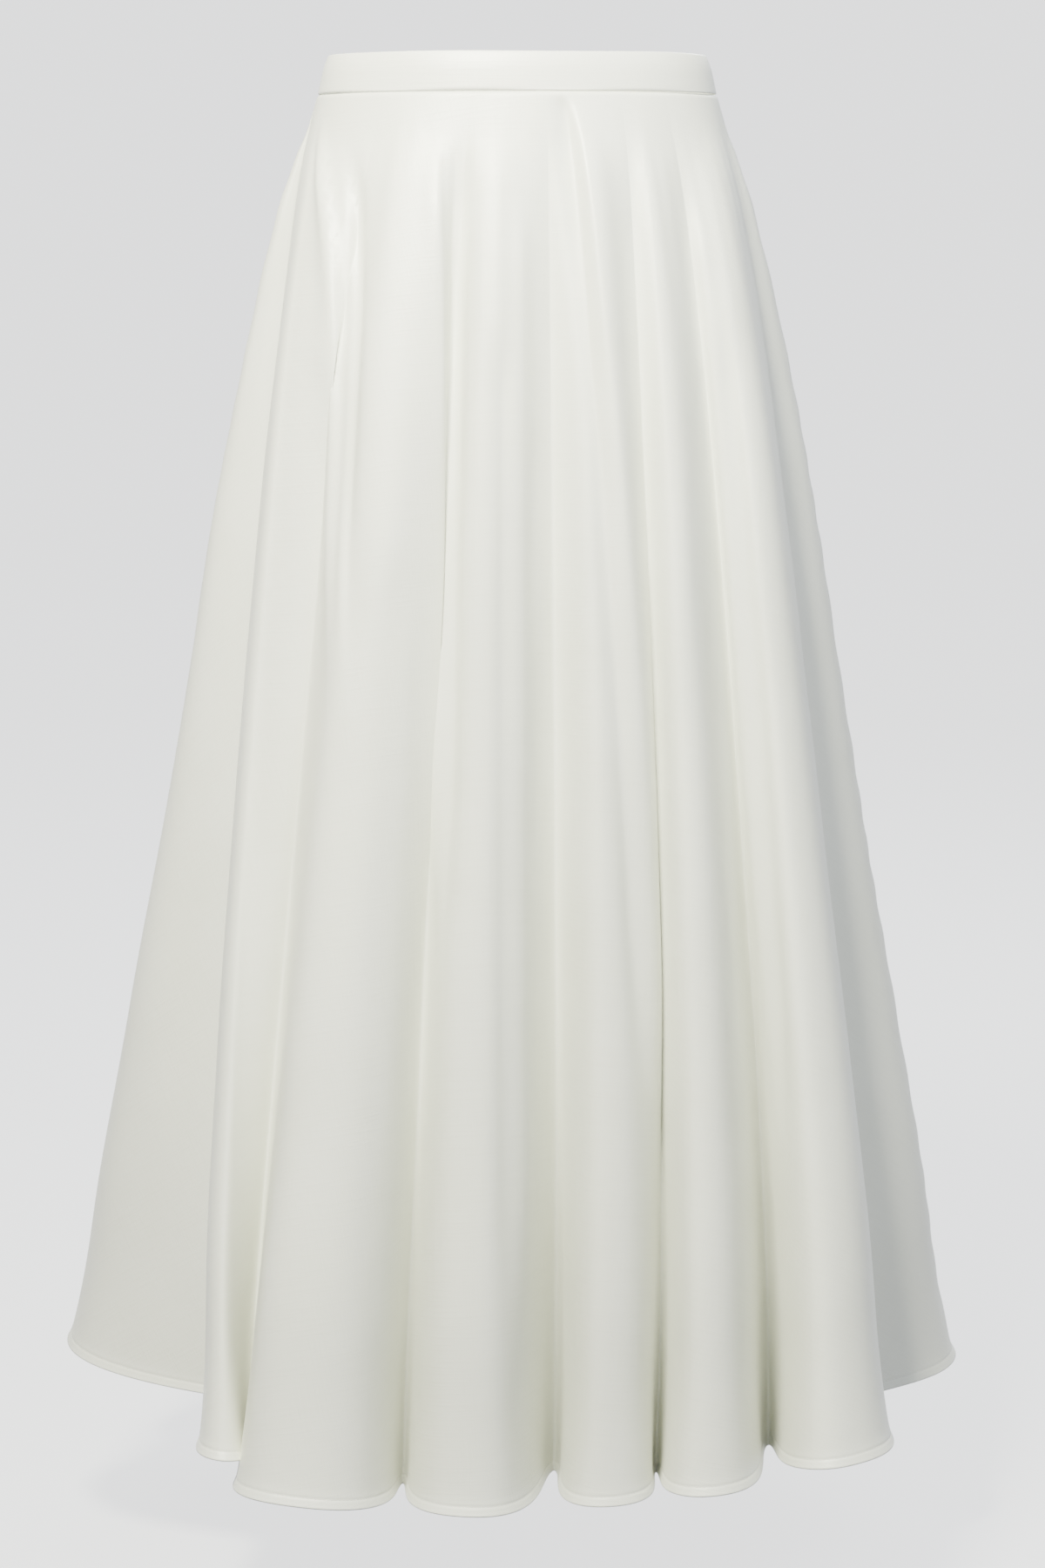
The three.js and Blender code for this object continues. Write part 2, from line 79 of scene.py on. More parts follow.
# Folds round the skirt, crests and valleys in turn, from the photo's left over the front. Left and right in
# their names are the photo's. waist is the bearing where the fold leaves the waist, x and y its place at the
# hem, facing the bearing that the cloth faces there, before and after how far the curve keeps straight.
Fold = namedtuple("Fold", "name waist x y facing before after")
FOLDS = [
    Fold("side left", -88, -0.323, 0.000, -84, 0.050, 0.054),
    Fold("valley 1", -86, -0.204, -0.092, -62, 0.013, 0.013),
    Fold("front 1", -70, -0.196, -0.262, -36, 0.022, 0.018),
    Fold("valley 2", -41, -0.180, -0.200, -42, 0.007, 0.007),
    Fold("front 2", -28, -0.146, -0.295, -8, 0.048, 0.062),
    Fold("valley 3", -13, -0.077, -0.202, -6, 0.006, 0.006),
    Fold("front 3", -5, -0.028, -0.280, -2, 0.042, 0.032),
    Fold("valley 4", 8, 0.025, -0.166, 10, 0.008, 0.008),
    Fold("front 4", 19, 0.060, -0.260, 6, 0.030, 0.028),
    Fold("valley 5", 30, 0.094, -0.190, 12, 0.005, 0.005),
    Fold("front 5", 36, 0.129, -0.267, 14, 0.029, 0.029),
    Fold("valley 6", 46, 0.172, -0.156, 36, 0.009, 0.010),
    Fold("front 6", 60, 0.220, -0.256, 30, 0.046, 0.048),
    Fold("valley 7", 79, 0.242, -0.096, 62, 0.013, 0.013),
    Fold("side right", 89, 0.310, -0.032, 80, 0.038, 0.048),
    Fold("valley 8", 100, 0.230, 0.032, 98, 0.012, 0.012),
    Fold("back 1", 112, 0.291, 0.116, 112, 0.042, 0.042),
    Fold("valley 9", 122, 0.196, 0.128, 122, 0.012, 0.012),
    Fold("back 2", 133, 0.226, 0.216, 134, 0.042, 0.038),
    Fold("valley 10", 144, 0.132, 0.178, 145, 0.011, 0.011),
    Fold("back 3", 155, 0.123, 0.273, 158, 0.039, 0.038),
    Fold("valley 11", 168, 0.046, 0.196, 169, 0.009, 0.009),
    Fold("back 4", 180, 0.004, 0.285, 180, 0.038, 0.038),
    Fold("valley 12", 191, -0.038, 0.198, 190, 0.009, 0.009),
    Fold("back 5", 202, -0.100, 0.276, 198, 0.038, 0.040),
    Fold("valley 13", 213, -0.122, 0.186, 212, 0.011, 0.011),
    Fold("back 6", 224, -0.208, 0.229, 222, 0.040, 0.040),
    Fold("valley 14", 235, -0.192, 0.134, 235, 0.012, 0.012),
    Fold("back 7", 247, -0.285, 0.132, 246, 0.040, 0.042),
    Fold("valley 15", 260, -0.228, 0.048, 260, 0.013, 0.013),
]

# Sections down the skirt: down is the distance along the cloth from the seam, spread how much of the cone's
# widening is reached there, and fold how much of the folds' depth.
Section = namedtuple("Section", "down spread fold")
SECTIONS = [
    Section(0.000, 0.000, 0.000),
    Section(0.025, 0.050, 0.012),
    Section(0.065, 0.135, 0.070),
    Section(0.120, 0.225, 0.140),
    Section(0.200, 0.335, 0.215),
    Section(0.300, 0.450, 0.295),
    Section(0.420, 0.570, 0.375),
    Section(0.540, 0.690, 0.485),
    Section(0.680, 0.825, 0.645),
    Section(0.830, 0.950, 0.850),
    Section(0.933, 1.000, 1.000),
]

# Creases on the folds, soft troughs and ridges. top and bottom are the crease's place at the seam and at the
# hem, as a share of the way from the fold named to the next one, and beyond 1 it goes on past that; it turns
# most near the top. start and end are its distances down, left and right its half-widths before
# CREASE_GROWTH, and height is how far it stands out.
Crease = namedtuple("Crease", "name fold top bottom start end left right height")
CREASES = [
    Crease("long step trough", "valley 4", 0.34, 1.64, -0.02, 0.70, 0.014, 0.006, -0.0045),
    Crease("long step ridge", "valley 4", 0.61, 1.91, 0.00, 0.74, 0.007, 0.022, 0.0060),
    Crease("middle trough", "front 3", 0.10, 0.22, 0.15, 0.86, 0.014, 0.008, -0.0030),
    Crease("middle ridge", "front 3", 0.45, 0.42, 0.06, 0.86, 0.009, 0.012, 0.0025),
    Crease("right trough", "valley 6", 0.72, 0.52, 0.15, 0.76, 0.009, 0.010, -0.0035),
    Crease("right ridge", "valley 6", 0.38, 0.30, 0.06, 0.70, 0.009, 0.011, 0.0040),
    Crease("left hook ridge", "front 1", -0.36, 2.60, 0.015, 0.42, 0.014, 0.006, 0.0060),
    Crease("left hook trough", "front 1", 0.02, 2.98, 0.02, 0.44, 0.005, 0.014, -0.0045),
    Crease("left step ridge", "front 2", 0.22, 1.45, 0.03, 0.56, 0.016, 0.006, 0.0055),
    Crease("left step trough", "front 2", 0.53, 1.76, 0.025, 0.60, 0.005, 0.014, -0.0045),
    Crease("left long trough", "front 2", 0.28, 0.34, 0.30, 0.90, 0.014, 0.012, -0.0020),
    Crease("side left trough", "valley 15", 0.62, 0.55, 0.12, 0.70, 0.009, 0.010, -0.0028),
    Crease("side right ridge", "side right", 0.38, 0.30, 0.10, 0.66, 0.008, 0.010, 0.0026),
    Crease("back step trough", "back 2", 0.34, 0.42, 0.00, 0.60, 0.012, 0.006, -0.0030),
    Crease("back step ridge", "back 2", 0.16, 0.24, 0.02, 0.52, 0.008, 0.018, 0.0030),
    Crease("back trough", "valley 11", 0.66, 0.58, 0.14, 0.82, 0.009, 0.010, -0.0028),
    Crease("back ridge", "back 5", 0.32, 0.40, 0.05, 0.74, 0.009, 0.012, 0.0030),
    Crease("back left trough", "valley 14", 0.60, 0.52, 0.20, 0.84, 0.010, 0.010, -0.0028),
]

# Share of its half-widths that a crease has at the seam, and what is added to that at the hem
CREASE_GROWTH = (0.55, 0.90)

# Distances over which a crease rises and dies away, and over which all of them rise below the waist seam
CREASE_FADES = (0.06, 0.16)
CREASE_TOP = 0.012

# Panels: the CAD node, first and last bearing, and the columns of points across
Panel = namedtuple("Panel", "node first last columns")
PANELS = [
    Panel("front_panel", -90, 90, 356),
    Panel("back_left_panel", 90, 180, 178),
    Panel("back_right_panel", 180, 270, 178),
]
PANEL_ROWS = 158

# Distance round the hem that a turn of one radian counts for when columns are shared out
TURN_WEIGHT = 0.014

# Steps: along a span of the hem, round the whole waist and the whole hem, down the cloth, and for a slope
SPAN_STEPS = 80
WAIST_STEPS = 720
HEM_STEPS = 6000
DROP_STEP = 0.004
PROBE = 0.002

# Where the cloth turns: distances of extra columns from a panel seam, and of extra rows from the waist seam
# and the hem
SEAM_OFFSETS = (0.0, 0.0004, 0.0009, 0.0016, 0.0026, 0.0040)
WAIST_OFFSETS = (0.0, 0.0005, 0.0011, 0.0019, 0.0030, 0.0045, 0.0065, 0.0090)
HEM_OFFSETS = (
    0.0, 0.0007, 0.0015, 0.0024, 0.0034, 0.0043, 0.0050, 0.0056, 0.0063, 0.0072, 0.0085, 0.0105, 0.0135,
)

# Soft unevenness: size of the waves, how many are summed, the seed, and the share of the whole height
Wave = namedtuple("Wave", "size count seed share")
CLOTH_WAVES = (Wave(0.22, 7, 3, 1.0), Wave(0.07, 7, 5, 0.3))
BAND_WAVE = Wave(0.09, 6, 11, 1.0)
LIFT_WAVE = Wave(0.16, 4, 12, 1.0)

# The waist seam holds the cloth even to the first distance down, and lets it go by the second
HELD = (0.004, 0.050)

# Puckers beside the panel seams: their length, their sway, and how far they reach
PUCKER_LENGTH = 0.041
PUCKER_SWAY = 23
PUCKER_REACH = 0.010

# The hem's curl starts this many hem widths up, and its sewing pulls the cloth in over this distance
LIP_REACH = 2.2
STITCH_REACH = 0.0008

# The turned hem: how far above it the wall starts to thicken and is at its thickest, and by what share
HEM_STEP = (0.0016, 0.0004)
HEM_EXTRA = 0.9

# How far the worn colour reaches: a share of the hem's width, and a distance from the band's top edge
HEM_WORN = 0.6
BAND_WORN = 0.002

# Points up each face of the band and round each of its edges, and its height as the unevenness counts it
BAND_ROWS = 15
BAND_TURN = 5
BAND_RUN = 0.06

# Distances round the band of the columns beside the opening, which turn in by a share of the thickness
SLIT_OFFSETS = (0.0, 0.00015, 0.0005, 0.0012, 0.0024)
SLIT_TURN = 0.5

# The tape: its length below the seam, its points, and how far it keeps from the band's top and, above and
# below it, from the waist seam
ZIP_LENGTH = 0.180
TAPE_COLUMNS = 9
TAPE_MIDDLE = TAPE_COLUMNS // 2
TAPE_BAND_ROWS = 8
TAPE_ROWS = 60
TAPE_TOP = 0.003
TAPE_SEAM = (0.001, 0.002)

# A short way down the cloth, for a direction out of it
SLOPE_STEP = 0.0004

# The chain: the tape's rows that it follows, its start along them, and how far a row of teeth stands aside
CHAIN_ROWS = (2, -3)
CHAIN_START = 0.0002
TOOTH_SHIFT = 0.30

# The hem's sewing: columns left out at a panel's sides, and its start past them
STITCH_MARGIN = 3
STITCH_START = 0.0006

# The backdrop: its sides, its steps over the floor, the turn and the wall, and how much darker its clouds are
BACKDROP_SIDES = 96
BACKDROP_STEPS = (8, 16, 4)
PAPER_SHADE = 0.985

# Where the lights point, and the camera's sensor in millimetres and its reach
LIGHTS_AIM = (0.0, 0.0, -0.45)
SENSOR_WIDTH = 36.0
CLIP_END = 50.0


def heading(degrees):
    """The direction in plan that the hem runs in where it faces a bearing."""
    return np.array([math.cos(math.radians(degrees)), math.sin(math.radians(degrees))])


def smoothstep(low, high, value):
    share = np.clip((value - low) / (high - low), 0, 1)
    return share * share * (3 - 2 * share)


def smooth_through(x, y, values, closed=False):
    """A smooth curve through the points (x, y) that never turns back between them, read at the values."""
    x, y = np.asarray(x, float), np.asarray(y, float)
    gap = np.diff(x)
    slope = np.diff(y) / gap
    tangent = np.zeros_like(y)

    def blend(i, j):
        if slope[i] * slope[j] <= 0:
            return 0.0
        w1, w2 = 2 * gap[j] + gap[i], gap[j] + 2 * gap[i]
        return (w1 + w2) / (w1 / slope[i] + w2 / slope[j])

    for i in range(1, len(x) - 1):
        tangent[i] = blend(i - 1, i)
    tangent[0], tangent[-1] = (blend(-1, 0),) * 2 if closed else (slope[0], slope[-1])
    i = np.clip(np.searchsorted(x, values, side="right") - 1, 0, len(x) - 2)
    t = (values - x[i]) / gap[i]
    u = 1 - t
    return (
        (1 + 2 * t) * u * u * y[i]
        + t * u * u * gap[i] * tangent[i]
        + t * t * (3 - 2 * t) * y[i + 1]
        + t * t * (t - 1) * gap[i] * tangent[i + 1]
    )


def hem_outline():
    """The hem from above, one closed curve through the folds: its points, and the distance along it at each
    point and at each fold."""
    share = np.linspace(0, 1, SPAN_STEPS, endpoint=False)[:, None]
    spans = []
    for fold, following in zip(FOLDS, FOLDS[1:] + FOLDS[:1]):
        first = np.array([fold.x, fold.y])
        last = np.array([following.x, following.y])
        leaving = first + heading(fold.facing) * fold.after
        reaching = last - heading(following.facing) * following.before
        rest = 1 - share
        pulls = (rest**3, 3 * TIGHTNESS * share * rest**2, 3 * TIGHTNESS * share**2 * rest, share**3)
        corners = (first, leaving, reaching, last)
        spans.append(sum(pull * corner for pull, corner in zip(pulls, corners)) / sum(pulls))
    points = np.concatenate(spans + [spans[0][:1]])
    along = np.concatenate([[0], np.cumsum(np.linalg.norm(np.diff(points, axis=0), axis=1))])
    return points, along, along[::SPAN_STEPS]


class Drape:
    """The skirt's outer face. A place is a distance round the hem, and down a distance along the cloth from
    the seam. Grids are (places, rows, coordinates)."""

    def __init__(self):
        self.outline, self.along, self.marks = hem_outline()
        self.total = self.along[-1]
        self.waist = [fold.waist for fold in FOLDS] + [FOLDS[0].waist + 360]
        self.names = [fold.name for fold in FOLDS]
        self.cut_angle = (self.total - self.seam_length()) / LENGTH
        self.cut_radius = self.seam_length() / self.cut_angle

    def seam_length(self):
        bearings = np.linspace(0, 2 * math.pi, WAIST_STEPS + 1)
        ring = np.stack([WAIST[0] * np.sin(bearings), WAIST[1] * np.cos(bearings)], axis=-1)
        return np.linalg.norm(np.diff(ring, axis=0), axis=1).sum()

    def bearing(self, place):
        return np.radians(smooth_through(self.marks, self.waist, np.mod(place, self.total), closed=True))

    def hem(self, place):
        wrapped = np.mod(place, self.total)
        return np.stack([np.interp(wrapped, self.along, self.outline[:, i]) for i in (0, 1)], axis=-1)

    def place_of(self, degrees):
        """The place whose cloth leaves the waist at a bearing."""
        turned = degrees + 360 if degrees < self.waist[0] else degrees
        places = np.linspace(0, self.total, HEM_STEPS + 1)[:-1]
        found = np.interp(turned, np.degrees(self.bearing(places)), places)
        return found - self.total if turned != degrees else found

    def place_of_fold(self, number):
        return np.interp(number, np.arange(len(self.marks)), self.marks)

    def plan(self, place, down):
        """Where the cloth lies in plan, before the hem's flare."""
        bearing = self.bearing(place)
        sine, cosine = np.sin(bearing), -np.cos(bearing)
        seam = np.stack([WAIST[0] * sine, WAIST[1] * cosine], axis=-1)[:, None]
        cone = np.stack([CONE[0] * sine, CONE[1] * cosine], axis=-1)[:, None]
        rows = [[getattr(section, key) for section in SECTIONS] for key in Section._fields]
        spread = smooth_through(rows[0], rows[1], down)[None, :, None]
        fold = smooth_through(rows[0], rows[2], down)[None, :, None]
        return seam + (cone - seam) * spread + (self.hem(place)[:, None] - cone) * fold

    def speed(self, place, down):
        """How far the cloth runs at each distance down, for a distance round the hem, at one place."""
        pair = self.plan(np.array([place - PROBE, place + PROBE]), down)
        return np.linalg.norm(pair[1] - pair[0], axis=-1) / (2 * PROBE)

    def points(self, place, down):
        """The smooth face. The cloth keeps its length, so what it travels sideways it drops less."""
        fine = np.append(np.arange(0, LENGTH, DROP_STEP), LENGTH)
        length = LENGTH_SIDE + (LENGTH - LENGTH_SIDE) * np.cos(self.bearing(place)) ** 2
        travel = np.linalg.norm(np.diff(self.plan(place, fine), axis=1), axis=-1)
        step = np.diff(fine)[None, :] * length[:, None] / LENGTH
        drop = np.sqrt(np.maximum(step**2 - travel**2, 0))
        fallen = np.concatenate([np.zeros((len(place), 1)), np.cumsum(drop, axis=1)], axis=1)
        i = np.clip(np.searchsorted(fine, down, side="right") - 1, 0, len(fine) - 2)
        share = (down - fine[i]) / (fine[i + 1] - fine[i])
        height = SEAM_HEIGHT - fallen[:, i] * (1 - share) - fallen[:, i + 1] * share
        plan = self.plan(place, down)
        across = self.plan(place + PROBE, down) - self.plan(place - PROBE, down)
        across /= np.linalg.norm(across, axis=-1, keepdims=True)
        number = np.interp(np.mod(place, self.total), self.marks, np.arange(len(self.marks)))
        crest = np.sqrt(0.5 + 0.5 * np.cos(math.pi * number))
        reach = np.clip((down - FLARE_FROM) / (LENGTH - FLARE_FROM), 0, 1) ** 2
        flare = FLARE * crest[:, None] * reach[None, :]
        plan = plan + np.stack([across[..., 1], -across[..., 0]], axis=-1) * flare[..., None]
        return np.concatenate([plan, height[..., None]], axis=-1)

    def outward(self, place, down):
        """Unit vectors that point out of the smooth face."""
        across = self.points(place + PROBE, down) - self.points(place - PROBE, down)
        along = np.gradient(self.points(place, down), down, axis=1)
        normal = np.cross(along, across)
        return normal / np.linalg.norm(normal, axis=-1, keepdims=True)

    def creases(self, place, down):
        """How far the creases stand out."""
        share = np.sqrt(np.maximum(down, 0) / LENGTH)
        growth = CREASE_GROWTH[0] + CREASE_GROWTH[1] * share**2
        fade_in, fade_out = CREASE_FADES
        height = np.zeros((len(place), len(down)))
        for crease in CREASES:
            number = self.names.index(crease.fold)
            line = self.place_of_fold(number + crease.top + (crease.bottom - crease.top) * share)
            pace = np.array([self.speed(at, np.array([d]))[0] for at, d in zip(line, down)])
            away = np.mod(place[:, None] - line[None, :] + self.total / 2, self.total) - self.total / 2
            away = away * pace[None, :] / growth[None, :]
            width = np.where(away < 0, crease.left, crease.right)
            fade = smoothstep(crease.start, crease.start + fade_in, down)
            fade = fade * (1 - smoothstep(crease.end - fade_out, crease.end, down))
            height += crease.height * fade[None, :] * np.exp(-((away / width) ** 2))
        return height


def unevenness(place, down, waves):
    """Soft unevenness of cloth, between -1 and 1: long waves that run in several directions."""
    chance = np.random.default_rng(waves.seed)
    height = np.zeros((len(place), len(down)))
    for _ in range(waves.count):
        turn = chance.uniform(-0.5, 0.5)
        length = waves.size * chance.uniform(0.7, 1.6)
        phase = chance.uniform(0, 2 * math.pi)
        wave = place[:, None] * math.cos(turn) + down[None, :] * math.sin(turn) * 0.6
        height += np.sin(2 * math.pi * wave / length + phase + 3 * np.sin(down[None, :] * 9 + phase))
    return waves.share * height / waves.count


# Cloth pieces

def panel_places(drape, panel):
    """Places across a panel, closer where the hem turns, with extra ones beside its seams."""
    first, last = drape.place_of(panel.first), drape.place_of(panel.last)
    steps = np.linspace(first, last, int((last - first) / PROBE))
    runs = np.diff(drape.hem(steps), axis=0)
    turns = np.abs(np.gradient(np.unwrap(np.arctan2(runs[:, 1], runs[:, 0]))))
    weight = np.append(0, np.cumsum(np.linalg.norm(runs, axis=1) + TURN_WEIGHT * turns))
    places = np.interp(np.linspace(0, weight[-1], panel.columns + 1), weight, steps)
    offsets = np.array(SEAM_OFFSETS)
    clear = offsets[-1] + offsets[1]
    inner = places[(places > first + clear) & (places < last - clear)]
    return np.concatenate([first + offsets, inner, last - offsets[::-1]])


def panel_rows():
    """Distances down a panel, closer under the waist seam and over the hem."""
    top, hem = np.array(WAIST_OFFSETS), LENGTH - np.array(HEM_OFFSETS)[::-1]
    middle = np.linspace(top[-1], hem[0], PANEL_ROWS + 1 - len(top) - len(hem))
    return np.concatenate([top, middle[1:-1], hem])


def panel_relief(drape, panel, place, down, cloth):
    """How far a panel's finished face stands out from the smooth one."""
    held = smoothstep(*HELD, down)
    relief = drape.creases(place, down) * smoothstep(0.0, CREASE_TOP, down)
    for waves in CLOTH_WAVES:
        relief += cloth.unevenness * held * unevenness(place, down, waves)
    ahead = drape.plan(place + PROBE, down) - drape.plan(place - PROBE, down)
    pace = np.linalg.norm(ahead, axis=-1) / (2 * PROBE)
    for seam in (drape.place_of(panel.first), drape.place_of(panel.last)):
        away = np.abs(place - seam)[:, None] * pace
        sway = 2 * np.sin(down * PUCKER_SWAY)
        pucker = np.sin(down * 2 * math.pi / PUCKER_LENGTH + sway)[None, :] * held
        relief += cloth.pucker * pucker * np.exp(-((away / PUCKER_REACH) ** 2))
        relief -= cloth.seam_depth * np.exp(-((away / cloth.seam_width) ** 2))
    relief -= cloth.seam_depth * np.exp(-((down / cloth.seam_width) ** 2))
    above = LENGTH - down
    relief += cloth.lip * (1 - np.clip(above / (LIP_REACH * cloth.hem_width), 0, 1)) ** 2
    relief -= cloth.stitch_depth * np.exp(-((above - cloth.hem_width) / STITCH_REACH) ** 2)
    return relief


def panel_face(drape, panel, place, down, cloth):
    """A panel's finished outer face and the directions out of it."""
    normal = drape.outward(place, down)
    relief = panel_relief(drape, panel, place, down, cloth)
    return drape.points(place, down) + normal * relief[..., None], normal


def mesh_of(name, points, faces, uv=None, edge=None, material=None):
    """An object at the origin from points and faces, with the flat cut as its UV map."""
    mesh = bpy.data.meshes.new(name)
    mesh.from_pydata(np.asarray(points).reshape(-1, 3).tolist(), [], faces)
    mesh.shade_smooth()
    if uv is not None:
        corners = np.empty(len(mesh.loops), dtype=np.int32)
        mesh.loops.foreach_get("vertex_index", corners)
        layer = mesh.uv_layers.new(name="cut")
        layer.uv.foreach_set("vector", np.asarray(uv).reshape(-1, 2)[corners].ravel())
    if edge is not None:
        layer = mesh.attributes.new("edge", "FLOAT", "POINT")
        layer.data.foreach_set("value", np.asarray(edge).ravel())
    if material is not None:
        mesh.materials.append(material)
    piece = bpy.data.objects.new(name, mesh)
    bpy.context.collection.objects.link(piece)
    return piece


def ring_faces(columns, size):
    """Quads between closed loops of points that stand side by side."""
    faces = []
    for c in range(columns - 1):
        here, there = c * size, (c + 1) * size
        for k in range(size):
            after = (k + 1) % size
            faces.append((here + k, here + after, there + after, there + k))
    return faces


def capped_faces(columns, size):
    """The same quads, with the first and last loop closed."""
    first, last = range(size), range((columns - 1) * size, columns * size)
    return ring_faces(columns, size) + [tuple(first)[::-1], tuple(last)]


def rounded_tip(outer, inner, ahead, steps=3):
    """Points round the edge from an outer to an inner line, bulging ahead by half their distance."""
    centre, half = (outer + inner) / 2, (outer - inner) / 2
    reach = np.linalg.norm(half, axis=-1, keepdims=True) * ahead
    turns = np.linspace(0, math.pi, steps + 2)[1:-1]
    return [centre + half * math.cos(turn) + reach * math.sin(turn) for turn in turns]


def unit(vectors):
    return vectors / np.linalg.norm(vectors, axis=-1, keepdims=True)


def dress(piece, node=None):
    """Puts a finished piece on the garment's body, in place of a CAD node."""
    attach(piece, BODY)
    if node is not None:
        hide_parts(node)


def make_panel(drape, panel, cloth, material):
    """One panel: a thin shell with a turned hem, its sides and top rolled into the seams."""
    place, down = panel_places(drape, panel), panel_rows()
    outer, normal = panel_face(drape, panel, place, down, cloth)
    rows = np.arange(0, len(down), 2)
    turned = smoothstep(cloth.hem_width + HEM_STEP[0], cloth.hem_width + HEM_STEP[1], LENGTH - down[rows])
    wall = cloth.thickness * (1 + HEM_EXTRA * turned)
    inner = outer[:, rows] - normal[:, rows] * wall[None, :, None]
    tips = rounded_tip(outer[:, -1], inner[:, -1], unit(outer[:, -1] - outer[:, -3]))
    loop = np.concatenate([outer, np.stack(tips, axis=1), inner[:, ::-1]], axis=1)
    columns, size = loop.shape[:2]
    faces = ring_faces(columns, size)
    count = len(down)
    tip = list(range(count, count + len(tips)))
    for base, turn in ((0, 1), ((columns - 1) * size, -1)):
        for i in range(len(rows) - 1):
            cap = [2 * i, size - 1 - i, size - 2 - i, 2 * i + 2, 2 * i + 1]
            faces.append(tuple(base + k for k in cap[::turn]))
        cap = [count - 1, count + len(tips)] + tip[::-1]
        faces.append(tuple(base + k for k in cap[::turn]))
    middle = (place[0] + place[-1]) / 2
    angle = (place - middle) / drape.total * drape.cut_angle
    reach = drape.cut_radius + np.concatenate([down, np.full(len(tips), LENGTH), down[rows][::-1]])
    uv = np.stack([np.outer(np.sin(angle), reach), -np.outer(np.cos(angle), reach)], axis=-1)
    above = LENGTH + drape.cut_radius - reach
    worn = np.exp(-above / (HEM_WORN * cloth.hem_width))
    edge = np.broadcast_to(worn, (columns, size))
    piece = mesh_of(panel.node.replace("panel", "cloth"), loop, faces, uv, edge, material)
    dress(piece, panel.node)
    share = (place[-1] - place[0]) / drape.total * drape.cut_angle
    far = drape.cut_radius + LENGTH
    flat = (2 * far * math.sin(share / 2), far - drape.cut_radius * math.cos(share / 2))
    area = share * (far**2 - drape.cut_radius**2) / 2


def band_point(bearing, height, out):
    """A point by the waistband: out is its distance from the even outer face."""
    share = (BAND_HEIGHT / 2 - height) / BAND_HEIGHT
    wide = BAND_TOP[0] + (WAIST[0] - BAND_TOP[0]) * share
    deep = BAND_TOP[1] + (WAIST[1] - BAND_TOP[1]) * share
    sine, cosine = np.sin(bearing), -np.cos(bearing)
    size = np.hypot(deep * sine, wide * cosine)
    plan = (wide * sine + out * deep * sine / size, deep * cosine + out * wide * cosine / size)
    return np.stack(np.broadcast_arrays(*plan, height), axis=-1)


def band_profile(band):
    """The band's section as (height, out) points, from its outer face's foot over the top and down again."""
    half, round_off = BAND_HEIGHT / 2, band.thickness / 2
    face = np.linspace(-half + round_off, half - round_off, BAND_ROWS)
    curl = band.curl * np.clip(face / half, 0, 1) ** 2
    swell = band.swell * (1 - (face / half) ** 2)
    outer = np.stack([face, swell - curl], axis=-1)
    inner = np.stack([face, -band.thickness - curl], axis=-1)[::-1]
    top = rounded_tip(outer[-1], inner[0], np.array([1.0, 0.0]), BAND_TURN)
    foot = rounded_tip(inner[-1], outer[0], np.array([-1.0, 0.0]), BAND_TURN)
    return np.concatenate([outer, top, inner, foot])


def make_waistband(band, material):
    """The waistband: one strip of doubled cloth, soft at the top edge and open at the centre back."""
    profile = band_profile(band)
    slit = band.slit / 2 / BAND_TOP[1]
    ends = np.array(SLIT_OFFSETS) / BAND_TOP[0]
    start = -math.pi + slit
    inner = np.linspace(start, -start, band.columns)[2:-2]
    bearing = np.concatenate([start + ends, inner, (-start - ends)[::-1]])
    sink = np.zeros(len(bearing))
    sink[[0, -1]] = SLIT_TURN
    height, out = profile[:, 0][None, :], profile[:, 1][None, :]
    around = bearing * (BAND_TOP[0] + BAND_TOP[1]) / 2
    soft = unevenness(around, np.linspace(0, BAND_RUN, len(profile)), BAND_WAVE)
    lift = unevenness(around, np.array([0.0]), LIFT_WAVE)
    outer_side = np.clip((out + band.thickness) / band.thickness, 0, 1)
    centre = -band.thickness / 2
    out = centre + (out - centre) * (1 - sink[:, None]) + band.unevenness * soft * outer_side
    height = height + band.lift * lift * np.clip(height / BAND_HEIGHT + 0.5, 0, 1)
    loop = band_point(bearing[:, None], height, out)
    columns, size = loop.shape[:2]
    faces = [face[::-1] for face in capped_faces(columns, size)]
    along = np.broadcast_to(around[:, None], (columns, size))
    down = np.cumsum(np.append(0, np.linalg.norm(np.diff(profile, axis=0), axis=1)))
    uv = np.stack([along, np.broadcast_to(down, (columns, size))], axis=-1)
    edge = np.exp(-np.abs(BAND_HEIGHT / 2 - height) / BAND_WORN)
    piece = mesh_of("waistband_cloth", loop, faces, uv, edge, material)
    dress(piece, "waistband")


# Node trees: one way to add nodes, and numbers that can be written as sums

class Value:
    """A number that varies over a surface, held as a socket. Each operation on it adds a Math node."""

    def __init__(self, nodes, socket):
        self.nodes, self.socket = nodes, socket

    def math(self, operation, *others):
        inputs = dict(enumerate((self, *others)))
        return self.nodes.value("ShaderNodeMath", {"operation": operation}, inputs)

    def __add__(self, other):
        return self.math("ADD", other)

    def __mul__(self, other):
        return self.math("MULTIPLY", other)

    def __sub__(self, other):
        return self.math("SUBTRACT", other)

    def __rsub__(self, other):
        return self.nodes.value("ShaderNodeMath", {"operation": "SUBTRACT"}, {0: other, 1: self})

    def __abs__(self):
        return self.math("ABSOLUTE")

    __radd__ = __add__
    __rmul__ = __mul__

    def sine(self):
        return self.math("SINE")

    def between(self, low, high):
        """0 below low, 1 above high, and soft between them."""
        settings = {"interpolation_type": "SMOOTHSTEP"}
        inputs = {"Value": self, "From Min": low, "From Max": high}
        return self.nodes.value("ShaderNodeMapRange", settings, inputs)


